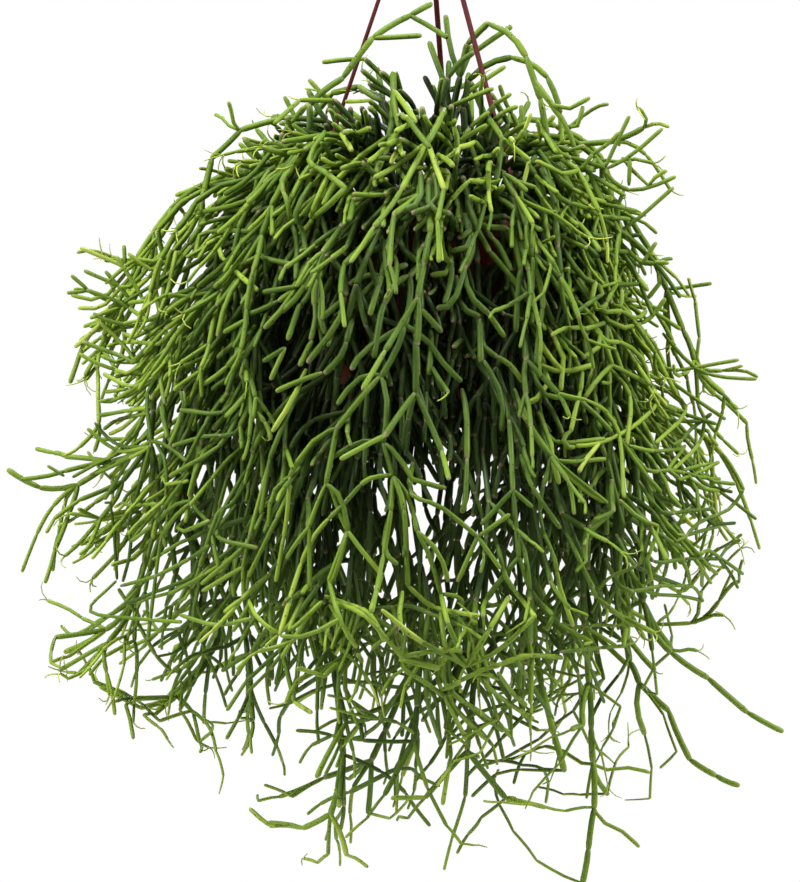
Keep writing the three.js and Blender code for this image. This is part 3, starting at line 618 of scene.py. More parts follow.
# stems in front, as read off the photograph: how fresh each looks, then its way from its inner end outwards
# in pixels
inFront = {
    "middle": [
        (6, 438,251, 423,260, 410,276), (6, 410,276, 411,296, 405,327), (6, 405,327, 396,351, 381,377),
        (6, 381,377, 387,396, 386,425, 383,442), (7, 383,442, 393,476),
        (9, 393,476, 391,510, 384,553, 372,612), (6, 408,276, 395,284, 385,303, 380,319, 374,357),
        (4, 400,327, 363,352, 352,369), (7, 408,326, 423,337, 436,351, 446,367, 461,381),
        (7, 380,375, 363,376, 348,389, 338,404), (7, 380,376, 360,399, 337,428),
        (5, 383,442, 358,442, 334,457), (7, 384,443, 404,461, 410,479, 445,488),
        (9, 393,475, 367,480, 344,504, 315,535, 298,573, 280,634), (8, 394,477, 409,498, 417,531),
        (8, 417,531, 430,557, 441,594), (8, 417,531, 439,553, 448,581), (8, 441,594, 459,597, 462,605),
        (8, 441,594, 448,623, 461,653), (9, 394,478, 404,509, 408,586), (10, 408,586, 434,607, 478,616),
        (7, 411,494, 441,507, 478,537), (9, 478,537, 509,515), (7, 478,537, 474,545, 458,581),
        (7, 478,537, 500,568), (4, 509,420, 513,490), (6, 513,490, 482,524), (7, 513,490, 532,507),
        (5, 513,490, 519,557), (7, 519,557, 487,598, 483,616), (7, 519,557, 532,596),
        (6, 467,420, 466,494, 462,512)],
    "bottom": [
        (10, 330,601, 365,616, 402,657), (9, 382,610, 422,642, 467,666), (11, 330,605, 341,623, 356,647),
        (9, 402,657, 445,649), (9, 402,657, 439,668), (11, 467,666, 488,632, 509,597),
        (10, 467,666, 500,650, 535,616), (10, 487,668, 520,656, 561,657), (7, 526,420, 552,457, 607,503),
        (10, 552,457, 559,481), (8, 330,485, 348,531, 382,575), (8, 348,531, 337,570, 330,585),
        (9, 400,624, 418,640, 454,659), (9, 400,658, 420,653, 461,650), (11, 400,660, 438,669),
        (9, 443,641, 455,658, 466,666), (9, 441,690, 477,672, 532,655), (8, 532,655, 562,658),
        (8, 403,666, 423,681, 447,698), (11, 447,696, 461,715, 486,739), (9, 444,696, 466,739),
        (8, 452,692, 477,710, 503,731), (10, 483,681, 507,702, 533,719), (9, 498,673, 512,693, 526,705),
        (8, 446,687, 477,673, 499,679), (5, 426,686, 429,708, 440,740), (8, 506,577, 522,600, 535,617),
        (6, 527,560, 530,589, 541,603, 553,615), (8, 555,560, 559,584, 573,626), (7, 582,565, 596,597),
        (7, 596,597, 614,611, 633,626), (7, 553,617, 547,630), (5, 516,659, 553,719), (5, 578,673, 582,721),
        (6, 584,652, 604,702), (4, 630,655, 604,693, 590,721), (5, 561,652, 600,648, 625,646)],
    "crown": [
        (5, 398,225, 398,241, 386,261, 382,276), (6, 382,276, 365,276, 350,284),
        (7, 382,276, 368,289, 353,306), (6, 382,276, 376,294, 370,314), (5, 382,276, 395,269, 406,265),
        (5, 398,241, 416,261), (1, 436,203, 413,213, 400,223, 370,235), (1, 420,201, 403,210),
        (2, 420,218, 418,233, 415,255), (1, 430,208, 449,213, 453,225, 449,240), (5, 475,225, 459,238),
        (2, 475,224, 489,217, 506,217), (3, 506,217, 529,231, 535,253), (6, 475,226, 484,241, 489,251),
        (6, 489,251, 501,265, 524,293), (6, 475,225, 506,228, 514,241, 521,270),
        (6, 521,270, 518,286, 516,331), (5, 486,230, 499,246, 511,270),
        (6, 526,246, 536,270, 543,300, 540,324, 536,364), (5, 474,243, 466,266, 453,303, 438,308),
        (8, 443,255, 451,263, 451,283, 445,303), (8, 451,270, 432,275), (8, 471,243, 453,251),
        (6, 466,283, 473,299, 489,314), (8, 489,314, 504,336), (5, 461,306, 479,316), (5, 420,276, 421,309),
        (6, 421,309, 441,331), (5, 421,309, 416,322), (6, 480,319, 481,361), (4, 484,347, 509,364, 522,381),
        (5, 484,361, 502,397, 502,430), (8, 431,352, 429,374), (6, 416,337, 416,387)],
    "right": [
        (8, 603,340, 623,343, 642,359, 651,386, 659,412, 676,421, 700,421), (7, 603,340, 583,358),
        (7, 603,340, 612,365), (8, 612,365, 599,378, 585,397), (8, 612,365, 637,378, 651,386),
        (11, 659,396, 645,417, 623,433, 596,444, 576,446), (10, 619,434, 624,497),
        (10, 582,373, 576,408, 571,431), (10, 571,431, 563,439, 568,447, 574,447),
        (11, 599,444, 585,461, 579,472), (9, 554,441, 604,439), (9, 557,460, 605,459),
        (9, 521,402, 529,424, 549,453), (9, 549,453, 579,486, 604,502), (10, 552,443, 552,461, 559,483),
        (13, 546,352, 562,371), (13, 564,356, 562,371, 561,390), (11, 538,364, 562,372, 592,365),
        (12, 551,379, 536,399, 527,403), (10, 630,396, 627,444), (7, 545,395, 579,400, 611,431),
        (11, 686,410, 656,443), (9, 705,418, 699,444, 674,469), (6, 532,486, 560,528)],
    "left": [
        (8, 337,428, 316,438, 298,461, 290,476), (8, 290,476, 287,516, 284,536), (10, 284,536, 276,581),
        (7, 290,476, 272,495, 269,527), (8, 337,428, 335,438, 326,484), (8, 326,484, 316,507, 309,527),
        (10, 309,527, 295,545, 287,558), (9, 309,527, 310,590), (7, 326,484, 341,498, 348,530),
        (10, 348,530, 329,581), (10, 329,581, 338,614, 350,639), (9, 382,574, 371,610),
        (9, 384,550, 397,564), (11, 248,599, 258,619, 278,634), (10, 281,636, 307,636, 338,620),
        (10, 325,596, 347,604, 370,614, 384,640), (9, 290,630, 322,602), (9, 292,400, 273,431),
        (6, 284,423, 270,458), (6, 270,458, 261,513), (5, 270,460, 250,535, 243,567), (8, 243,567, 244,599),
        (8, 243,567, 203,591), (7, 277,518, 249,576), (6, 246,544, 202,584), (6, 217,536, 257,548),
        (6, 212,536, 218,565), (5, 228,501, 214,533, 203,556)],
    "leftShoulder": [
        (6, 282,180, 288,204, 290,223), (5, 290,223, 297,240, 296,279), (5, 296,212, 303,233, 306,255),
        (8, 309,160, 325,172, 345,188), (10, 345,188, 328,206, 313,218), (12, 313,218, 308,226, 300,233),
        (12, 317,200, 311,217), (5, 322,217, 329,243, 330,258), (4, 330,258, 316,270, 312,278),
        (3, 332,260, 343,273, 346,295), (4, 345,298, 322,318), (6, 345,299, 337,324, 308,362),
        (4, 350,328, 342,354, 325,373), (7, 322,373, 297,382, 277,391), (12, 219,247, 233,269, 257,290),
        (5, 288,221, 267,250, 236,267), (8, 271,230, 221,230), (6, 271,230, 242,231, 203,233, 196,252),
        (6, 276,181, 253,204), (6, 251,177, 225,194), (6, 247,200, 198,213), (6, 303,286, 282,289, 264,292),
        (7, 303,290, 282,312), (6, 291,292, 267,307, 247,315), (6, 288,302, 265,328), (6, 300,304, 288,339),
        (5, 312,282, 309,295, 302,303), (6, 314,292, 316,316, 311,339), (7, 312,341, 300,365),
        (6, 319,307, 325,333), (5, 254,253, 291,264), (4, 224,298, 210,313, 190,344), (6, 227,299, 218,336),
        (6, 248,322, 234,347), (6, 248,319, 225,332), (6, 285,348, 271,379), (5, 285,348, 264,361),
        (7, 236,356, 219,374, 202,385), (3, 251,347, 236,367, 227,394), (7, 228,261, 198,287),
        (7, 230,273, 215,287)],
    "leftFlank": [
        (4, 148,393, 151,441), (4, 151,441, 131,458, 105,499), (5, 151,443, 141,480, 128,524),
        (3, 155,441, 166,463, 166,496), (5, 151,441, 168,446, 186,461), (4, 105,503, 112,508, 117,579),
        (4, 128,526, 131,549, 123,581), (5, 117,526, 128,524), (6, 121,586, 156,576, 189,559, 209,546),
        (3, 126,602, 156,592, 189,579), (7, 126,602, 90,630), (7, 250,546, 206,574, 170,594),
        (7, 189,501, 173,506, 158,521), (12, 156,521, 153,538), (8, 189,504, 173,519, 161,538),
        (6, 161,539, 156,574, 148,639), (7, 189,501, 204,518, 213,529), (7, 176,533, 209,521),
        (5, 206,423, 181,473), (5, 183,392, 185,408, 170,445), (6, 163,397, 165,425, 171,443),
        (5, 223,412, 181,410), (7, 219,446, 170,476), (4, 236,433, 206,436, 173,446),
        (6, 189,473, 170,499, 156,518), (7, 199,461, 189,496), (11, 160,483, 188,481),
        (3, 233,503, 218,513, 204,554), (8, 180,615, 216,625, 250,619), (7, 90,611, 140,619, 181,622),
        (7, 131,541, 151,526), (7, 123,503, 156,504), (9, 90,475, 115,463, 151,446), (9, 100,415, 148,408),
        (9, 102,401, 120,398, 130,392), (5, 95,423, 108,438, 125,447, 148,446)],
    "leftFringe": [
        (7, 155,323, 130,308, 112,299, 87,290), (8, 87,289, 72,276), (9, 86,291, 68,293),
        (11, 102,299, 72,295), (10, 107,303, 96,308, 79,308), (10, 118,308, 91,318),
        (7, 155,328, 138,326, 112,322, 94,314), (8, 136,359, 129,351, 100,322),
        (7, 136,361, 126,358, 83,342), (9, 134,372, 116,370, 94,362, 80,354), (10, 124,362, 102,356),
        (12, 159,344, 125,342, 108,346), (8, 134,386, 104,374), (9, 163,370, 131,390, 113,401, 100,401),
        (10, 128,389, 106,392), (8, 148,407, 130,410, 100,416), (9, 148,413, 118,420, 104,429),
        (9, 130,423, 110,434), (9, 151,446, 130,451, 118,451, 102,441, 88,429),
        (9, 112,480, 100,468, 88,452), (8, 118,453, 96,464, 73,477), (8, 151,446, 130,458, 96,474),
        (7, 64,476, 48,466), (10, 130,268, 121,265, 81,248), (8, 146,298, 138,290, 117,257),
        (9, 125,263, 124,246), (10, 161,273, 129,254), (10, 163,261, 138,259, 125,267, 106,283),
        (8, 165,275, 171,250), (6, 155,326, 167,294, 176,252), (10, 130,287, 108,281, 85,271),
        (8, 130,299, 106,272), (6, 167,275, 125,302), (7, 194,288, 165,298, 129,303), (9, 142,336, 123,334),
        (7, 196,290, 177,326, 159,344), (5, 161,367, 165,403), (6, 171,365, 178,390), (6, 161,407, 167,437),
        (6, 180,391, 184,409, 171,445)],
    "rightCrown": [
        (9, 560,110, 589,98), (9, 573,131, 583,107), (9, 560,115, 571,136, 576,155), (6, 560,150, 584,146),
        (6, 560,153, 581,160, 605,168), (9, 605,168, 616,144, 629,117),
        (7, 576,171, 592,155, 608,144, 619,133), (8, 608,168, 632,155, 662,129),
        (7, 606,172, 616,184, 629,190), (9, 629,185, 630,161), (9, 629,190, 648,188, 675,177),
        (9, 648,187, 654,177, 666,171), (6, 624,190, 618,208, 618,227),
        (7, 622,230, 638,219, 656,203, 673,188), (6, 560,179, 584,195, 606,203),
        (5, 560,198, 581,206, 597,214), (7, 597,214, 624,233, 645,251, 662,271, 680,297),
        (5, 598,217, 593,232, 596,247), (7, 598,216, 629,219), (8, 638,268, 646,257, 656,243),
        (8, 638,262, 652,262, 668,263), (8, 662,275, 648,298), (6, 621,252, 632,265, 641,286, 653,316),
        (5, 597,257, 606,279, 611,303), (3, 560,224, 579,239, 598,257), (6, 600,249, 627,252),
        (3, 587,233, 619,236, 640,235), (4, 584,278, 608,284, 640,284), (8, 598,310, 591,299, 596,283),
        (8, 600,308, 611,294, 619,279), (8, 598,310, 621,311, 637,319, 646,311),
        (9, 614,326, 640,324, 654,314, 665,299), (8, 619,310, 622,291), (8, 656,313, 680,329),
        (5, 560,292, 571,302, 579,319)],
    "rightFringe": [
        (8, 660,365, 679,370, 709,365, 738,360), (8, 689,363, 708,374, 732,378, 756,379),
        (8, 661,370, 677,386, 725,419), (7, 658,401, 676,411, 700,419, 716,424),
        (6, 673,445, 690,430, 711,414), (6, 674,424, 684,438, 697,453), (8, 630,446, 653,451, 684,449),
        (8, 668,470, 685,446), (8, 658,456, 668,470, 679,478), (8, 633,457, 646,475, 661,492),
        (7, 646,470, 668,470, 684,473), (9, 679,480, 700,472, 719,462), (8, 684,470, 703,465, 716,464),
        (7, 684,472, 703,478, 720,479), (6, 703,478, 735,484), (6, 700,480, 716,488, 732,492),
        (7, 665,478, 669,496, 681,507), (6, 697,486, 698,510, 701,516),
        (7, 698,486, 719,491, 738,505, 756,519), (6, 716,516, 732,507, 743,491),
        (4, 661,512, 687,511, 712,509), (12, 712,508, 720,521), (1, 709,521, 719,524, 735,523),
        (5, 676,542, 697,524, 716,515), (6, 677,535, 697,532, 719,526), (8, 620,500, 639,518, 658,526),
        (9, 658,526, 655,542, 647,558, 652,580), (7, 657,532, 673,543, 685,551),
        (4, 653,561, 684,559, 722,559), (7, 720,558, 728,547, 740,540), (8, 722,559, 743,574),
        (8, 720,561, 730,572, 738,588), (7, 697,553, 708,550, 720,558), (9, 685,564, 690,583),
        (9, 700,566, 702,586), (9, 700,566, 711,583), (8, 705,563, 717,574),
        (6, 625,590, 660,586, 684,586, 695,588, 703,601), (7, 646,591, 681,596, 703,601),
        (3, 636,566, 682,586)],
}


def lineAt(points, share):  # a point on a smooth line through all points
    n = len(points) - 1
    i = min(n - 1, int(share * n))
    t = share * n - i
    a = points[i - 1] if i else plus(scaled(points[0], 2), points[1], -1)
    b, c = points[i], points[i + 1]
    d = points[i + 2] if i + 2 <= n else plus(scaled(points[n], 2), points[n - 1], -1)
    out = []
    for k in range(3):
        out.append(0.5 * (2 * b[k] + (c[k] - a[k]) * t + (2 * a[k] - 5 * b[k] + 4 * c[k] - d[k]) * t * t
                          + (3 * b[k] - a[k] - 3 * c[k] + d[k]) * t * t * t))
    return tuple(out)


def facing(x, y):  # where a spot of the photograph lies on the front of the mop
    ex, ey, ez = photo["eye"]
    flat = ((x - photo["axis"]) * photo["scale"], pot["rimZ"] - (y - photo["rim"]) * photo["scale"])
    for depth in range(*photo["depths"]):
        near = 1 - depth / ey
        p = (ex + (flat[0] - ex) * near, depth, ez + (flat[1] - ez) * near)
        if overshoot(p) + recess(p) < photo["skin"]:
            break
    return p


def growInFront(stems, thicket, made):
    rows = [row for part in inFront.values() for row in part]
    ends = [facing(*row[-2:]) for row in rows]
    back, up = photo["lead"]
    for k, (ripe, *spots) in enumerate(rows):
        line = [facing(x, y) for x, y in zip(spots[::2], spots[1::2])]
        first = line[0]
        n = min(range(len(stems)),
                key=lambda n: min(size(plus(part[-1], first, -1)) for part in stems[n]["joints"]))
        if min(size(plus(other, first, -1)) for j, other in enumerate(ends) if j != k) > photo["joined"]:
            inward = unit((first[0], first[1], 0))
            line.insert(0, (first[0] - back * inward[0], first[1] - back * inward[1], first[2] + up))
        length = sum(size(plus(b, a, -1)) for a, b in zip(line, line[1:]))
        count = max(1, round(length / photo["joint"]))
        for j in range(count):
            part = [lineAt(line, (j + i / 4) / count) for i in range(5)]
            slim = 1 - photo["slim"] * turnedOf(part[2]) ** 2
            radius = tableAt(photo["width"], part[2][2] - pot["rimZ"])[0] * slim
            settle(part, radius, thicket, n)
            made[n].append((part, -ripe, 1, radius))


def tableAt(rows, z):
    for a, b in zip(rows, rows[1:]):
        if z >= b[0]:
            f = max(0, (a[0] - z) / (a[0] - b[0]))
            return [u + (v - u) * f for u, v in zip(a[1:], b[1:])]
    return rows[-1][1:]


def hangAt(p):
    edge = edgeOf(p, shell["deep"])
    out, down, frontOut, frontDown, edgeOut, edgeDown = tableAt(hangs, p[2] - pot["rimZ"])
    ahead = aheadOf(p)
    edgeOut, edgeDown = edgeOut + (frontOut - edgeOut) * ahead, edgeDown + (frontDown - edgeDown) * ahead
    out, down = out + (edgeOut - out) * edge, down + (edgeDown - down) * edge
    outward = unit((p[0], p[1], nearZero))
    return unit((outward[0] * out, outward[1] * out, -down))


# more twigs close round the pot, so that it hardly shows: within which radius and heights, and how
# many more there and right against it
closeBy = {"wide": 112, "low": -130, "high": 50, "more": 0.5, "against": 104, "most": 0.85}


def nearPot(p):
    z, c = p[2] - pot["rimZ"], closeBy
    if away(p) > c["wide"] or z < c["low"] or z > c["high"]:
        return 0
    return c["most"] if away(p) < c["against"] else c["more"]


hollow = {"deep": 30, "low": -230}


def recess(p):  # the front hangs back a little between the two flanks
    return hollow["deep"] * aheadOf(p) ** 3 if hollow["low"] < p[2] - pot["rimZ"] < 0 else 0


# the flanks are ragged: how far past the outline twigs go, by height over the rim, left then right
rags = [(400, 0, 0), (60, -4, 10), (20, 0, 14), (-5, 10, 10), (-40, 26, 6), (-100, 12, 6), (-170, 24, 6),
        (-230, 10, 8), (-300, 16, 0), (-500, 0, 0)]
# closer and thinner patches seen from the front: across, over the rim, how wide, how much closer
patches = [
    (48, -262, 60, 1.4), (86, -312, 44, 1.6), (-163, -254, 44, 1.7), (-208, -170, 40, 1.9),
    (-36, -300, 40, 1.5), (10, -140, 50, 0.5), (76, 56, 48, 0.4), (-156, 2, 50, 0.3), (-51, 87, 40, 0.5),
    (-140, -352, 36, 0.6), (30, -330, 26, 0.7), (184, -136, 42, 0.45), (158, -190, 34, 1.4),
    (206, -200, 34, 0.5), (138, -246, 44, 0.5), (156, -46, 36, 0.6), (-203, -90, 26, 0.6),
    (-173, -202, 26, 0.6), (-158, -310, 32, 1.4), (24, -187, 34, 1.2), (-210, -220, 34, 0.5),
    (-176, -280, 30, 0.6), (-206, -30, 30, 1.5), (-96, -330, 30, 1.3), (-196, -130, 28, 1.4),
    (-84, -276, 34, 0.6),
]


def patchAt(p):
    closer = 1
    for x, z, wide, share in patches:
        near = max(0, 1 - math.hypot(p[0] - x, p[2] - pot["rimZ"] - z) / wide)
        closer *= 1 + (share - 1) * min(1, 2 * near)
    return closer


def flankSlack(p):
    left, right = tableAt(rags, p[2] - pot["rimZ"])
    turned = turnedOf(p)
    return (right if turned > 0 else left) * turned * turned


# inner joints get painted shade, darker deeper in: how far from the outline they start to darken, over what
# depth, and the heights where this fades out towards the open bottom
inner = {"from": 10, "depth": 58, "fade": (-110, -240)}


def openAt(p):  # 1 at the outline, 0 deep inside
    deep = max(0, min(1, (-overshoot(p) - inner["from"]) / inner["depth"]))
    high, low = inner["fade"]
    fade = max(0, min(1, (p[2] - pot["rimZ"] - low) / (high - low)))
    return 1 - deep * fade


def arch(start, heading, order, turn, first, thicket, owner, draw, slack):
    t, g, z = twigs[order], growing, start[2] - pot["rimZ"]
    _, thick, unruly = tableAt(crowds, z)
    turned = turnedOf(start)  # the right flank is the messier one, with slimmer joints
    unruly *= 1 + g["messy"] * max(0, turned)
    slimmer = (g["slimmer"][0] + g["slimmer"][1] * turned) * edgeOf(start, g["slimEdge"])
    radius = t["radius"] * thick * (1 - slimmer * max(0, min(1, (g["slimTop"] - z) / g["slimTop"])))
    for attempt in range(g["tries"]):
        spread = draw(*t["fork"]) * (g["straight"] if first and attempt < g["straightTries"] else 1)
        side = sideways(heading, start, turn + attempt * nextTurn)
        angle = math.radians(spread * unruly)
        d0 = unit(plus(scaled(heading, math.cos(angle)), side, math.sin(angle)))
        length = draw(*t["length"]) * (1 - g["shorter"] * attempt)
        pull = draw(*g["pull"]) / unruly ** 2
        stray = tuple(draw(-1, 1) * g["stray"] for _ in range(3))
        goal = unit(plus(plus(scaled(d0, 1 - pull), hangAt(start), pull), stray))
        points = [start]
        for share in g["early"]:
            d = unit(plus(scaled(d0, 1 - share), goal, share))
            points.append(plus(points[-1], d, length / g["steps"]))
        if fits(points, radius, thicket, g["gap"], slack, owner):
            settle(points, radius, thicket, owner)
            return points, d, radius
    return None


def growFillers(thicket):  # extra stems, which stand between the main ones
    stems, rule = [], fillerRule
    for kind in fillers:
        for i in range(kind["count"]):
            draw = makeDraw(seeds["fillers"][0] * len(stems) + seeds["fillers"][1])
            shift = draw(-rule["shift"], rule["shift"])
            az = kind["first"] + kind.get("spread", 360) * i / kind["count"] + shift
            wide = widened(rule["wide"], az)
            row = {key: draw(*kind[key]) for key in ("rise", "reach", "drop", "tip")}
            row["reach"], row["tip"] = row["reach"] * wide, row["tip"] * wide
            row.update(az=az, root=kind["root"], swirl=draw(-rule["swirl"], rule["swirl"]))
            row["slack"] = ragged if "spread" in kind else rule["slack"]
            bad, joints = clearest(row, lambda attempt: draw, rule, thicket)
            if bad > rule["mostBad"]:
                continue
            owner = rule["owner"] + len(stems)
            settle(pointsOf(joints), rule["radius"], thicket, owner)
            stem = {"spray": row, "joints": joints, "sides": [], "open": [], "owner": owner}
            for j, part in enumerate(joints):
                if not inMouth(part[-1]):
                    heading = unit(plus(part[-1], part[-2], -1))
                    stem["open"].append((part[-1], heading, 2 + j % 2, (j + 1) / len(joints)))
            stems.append(stem)
    return stems


def growWisps(stems, thicket):
    ends = [(n,) + spot for n, stem in enumerate(stems) for spot in stem["open"]]
    made, rule = [[] for _ in stems], wispRule
    for x, y, z, after in wisps:
        goal = (x + 0.01, y, pot["rimZ"] + z)

        def farOff(end):  # ends that already point at the goal count as nearer
            way = plus(goal, end[1], -1)
            return size(way) * (1.6 - 0.6 * dot(end[2], unit(way)))

        n, start, heading, _, share = min(ends, key=farOff)
        span = size(plus(goal, start, -1))
        if span > rule["farthest"]:
            continue
        lift = (0, 0, rule["lift"] * span)
        arrive = plus(goal, unit(plus(goal, start, -1)), -span * rule["arrive"])
        bend = (start, plus(start, heading, span * rule["leave"]), plus(arrive, lift), goal)
        count = max(1, round(span / rule["joint"]))
        for j in range(count):
            points = [bezier(bend, (j + i / 4) / count) for i in range(5)]
            radius = rule["thick"][0] - rule["thick"][1] * (j + 1) / count
            settle(points, radius, thicket, n)
            made[n].append((points, min(5, 2 + j), share, radius))
            way = unit(plus(points[-1], points[-2], -1))
            stems[n]["open"].append((points[-1], way, after, 1))
    return made


# young shoots at the tips, thin and curled: how long and thick they are, how far they turn off and
# how much they curl, how many a tip bears, and the share of tips that do, deep inside and at a flank
shoots = {"length": (6, 15), "radius": (0.42, 0.72), "fork": (12, 70), "curl": (20, 130), "count": (1.2, 3.9),
          "turn": (1.4, 2.6), "share": 0.01, "edgeShare": 0.3, "edge": 24, "outside": 0.4, "points": 7}


def growShoots(tips, made):
    s = shoots
    for i, (n, start, heading) in enumerate(tips):
        draw = makeDraw(seeds["shoots"][0] * i + seeds["shoots"][1])
        flank = edgeOf(start, s["edge"]) * turnedOf(start) ** 2
        if draw() > s["share"] + (s["edgeShare"] - s["share"]) * flank or openAt(start) < s["outside"]:
            continue
        turn = draw(0, fullTurn)
        for _ in range(int(draw(*s["count"]))):
            turn += draw(*s["turn"])
            side = sideways(heading, start, turn)
            angle, curl = math.radians(draw(*s["fork"])), math.radians(draw(*s["curl"]))
            step = draw(*s["length"]) / (s["points"] - 1)
            points = [start]
            for k in range(s["points"] - 1):
                bent = angle + curl * (k / (s["points"] - 1) - 0.2)
                ahead = plus(points[-1], heading, step * math.cos(bent))
                points.append(plus(ahead, side, step * math.sin(bent)))
            made[n].append((points, 8, 1, draw(*s["radius"])))


longest = 34  # a joint of a main stem that is longer is really two


def longJoint(part):
    return len(part) == 3 and size(plus(part[2], part[0], -1)) > longest


def growTwigs(stems, thicket):
    made = growWisps(stems, thicket)
    growInFront(stems, thicket, made)
    for stem in stems:
        for j, part in enumerate(stem["joints"]):
            if longJoint(part) and not inMouth(part[1]) and j >= stem["spray"].get("from", 0):
                heading = unit(plus(part[1], part[0], -1))
                stem["open"].append((part[1], heading, 3, (j + 0.5) / len(stem["joints"])))
    level = [(n,) + spot for n, stem in enumerate(stems) for spot in stem["open"]]
    tips = []
    perLap, perStem, perEnd = seeds["twigs"]
    for lap in range(growing["laps"]):
        following = []
        for i, (n, start, heading, order, share) in enumerate(level):
            if order > 5:
                tips.append((n, start, heading))
                continue
            before = len(following)
            draw = makeDraw(perLap * (lap + 1) + perStem * (n + 1) + perEnd * i)
            light = growing["open"][0] + growing["open"][1] * openAt(start)
            crowd = tableAt(crowds, start[2] - pot["rimZ"])[0] * light * patchAt(start)
            count = int(draw(*twigs[order]["count"]) * crowd + nearPot(start) + draw())
            slack = stems[n]["spray"]["slack"]
            if slack == ragged:
                slack = flankSlack(start) - recess(start)
            elif overshoot(start) > growing["limit"]:
                count = min(count, 1 + (i % 2))
            turn = draw(0, fullTurn)
            for k in range(count):
                turn += nextTurn
                wisp = draw() ** 4 * growing["wisp"][0] - growing["wisp"][1] * draw()
                owner = stems[n].get("owner", n)
                got = arch(start, heading, order, turn, k == 0, thicket, owner, draw, slack + wisp)
                if got:
                    made[n].append((got[0], order, share, got[2]))
                    following.append((n, got[0][-1], got[1], order + 1, share))
            if len(following) == before and order > 1:
                tips.append((n, start, heading))
        level = following
    growShoots(tips, made)
    return made


def newLook(name):
    look = bpy.data.materials.new(name)
    look.use_nodes = True
    nodes = look.node_tree.nodes
    nodes.clear()
    out = nodes.new("ShaderNodeOutputMaterial")
    shader = nodes.new("ShaderNodeBsdfPrincipled")
    look.node_tree.links.new(shader.outputs[0], out.inputs["Surface"])
    return look, shader


def node(look, kind, values=(), **settings):
    made = look.node_tree.nodes.new("ShaderNode" + kind)
    for key, value in settings.items():
        setattr(made, key, value)
    for key, value in dict(values).items():
        made.inputs[key].default_value = value
    return made


def join(look, source, target):
    look.node_tree.links.new(source, target)


def mathNode(look, operation, a, b=None, clamp=False):
    made = node(look, "Math", operation=operation, use_clamp=clamp)
    for socket, value in zip(made.inputs, (a, b)):
        if value is None:
            continue
        if isinstance(value, (int, float)):
            socket.default_value = value
        else:
            join(look, value, socket)
    return made.outputs[0]


def times(look, a, b):
    return mathNode(look, "MULTIPLY", a, b)


def added(look, a, b, clamp=False):
    return mathNode(look, "ADD", a, b, clamp)


def varied(look, value, source, middle, amount):  # value, moved by how far the source is off its middle
    return added(look, value, times(look, mathNode(look, "SUBTRACT", source, middle), amount))


def ramp(look, source, stops):
    made = node(look, "ValToRGB")
    made.color_ramp.interpolation = "LINEAR"
    points = made.color_ramp.elements
    while len(points) < len(stops):
        points.new(0.5)
    for point, (place, colour) in zip(points, stops):
        point.position = place
        point.color = (*colour, 1) if isinstance(colour, tuple) else (colour, colour, colour, 1)
    join(look, source, made.inputs[0])
    return made.outputs[0]


def mix(look, share, a, b, blend="MIX"):
    made = node(look, "Mix", data_type="RGBA", blend_type=blend)
    for key, value in ((0, share), (6, a), (7, b)):
        if isinstance(value, (int, float)):
            made.inputs[key].default_value = value
        elif isinstance(value, tuple):
            made.inputs[key].default_value = (*value, 1)
        else:
            join(look, value, made.inputs[key])
    return made.outputs[2]


def noiseNode(look, scale, detail=3, rough=0.5, stretch=None):
    place = node(look, "TexCoord").outputs["Object"]
    if stretch:
        turned = node(look, "Mapping", {"Scale": stretch})
        join(look, place, turned.inputs["Vector"])
        place = turned.outputs[0]
    made = node(look, "TexNoise", {"Scale": scale, "Detail": detail, "Roughness": rough})
    join(look, place, made.inputs["Vector"])
    return made.outputs["Fac"]


def bump(look, shader, height, strength, distance):
    made = node(look, "Bump", {"Strength": strength, "Distance": distance})
    join(look, height, made.inputs["Height"])
    join(look, made.outputs[0], shader.inputs["Normal"])


# greens from the oldest joints to the freshest tips, the marks on them, and the painted shade of joints deep
# inside the mop
stemLook = {
    "greens": ((0.0, (0.028, 0.052, 0.008)), (0.3, (0.062, 0.114, 0.013)), (0.55, (0.122, 0.196, 0.019)),
               (0.8, (0.198, 0.283, 0.03)), (1.0, (0.335, 0.405, 0.07))),
    "cork": (0.34, 0.23, 0.16), "speck": (0.016, 0.018, 0.008), "bract": (0.26, 0.075, 0.045),
    "gloss": 0.33, "glossVaries": 0.22, "wornRough": 0.4, "shine": 0.11, "inside": 0.36, "innerShade": 0.34,
    "waxTint": (0.11, 0.18, 0.06), "patches": (38, 0.34), "mottle": (420, 0.16), "along": 0.10,
    "chance": 0.22, "young": 0.15, "wax": 0.2, "areoles": 270, "bump": (0.35, 0.0004, -0.7),
}


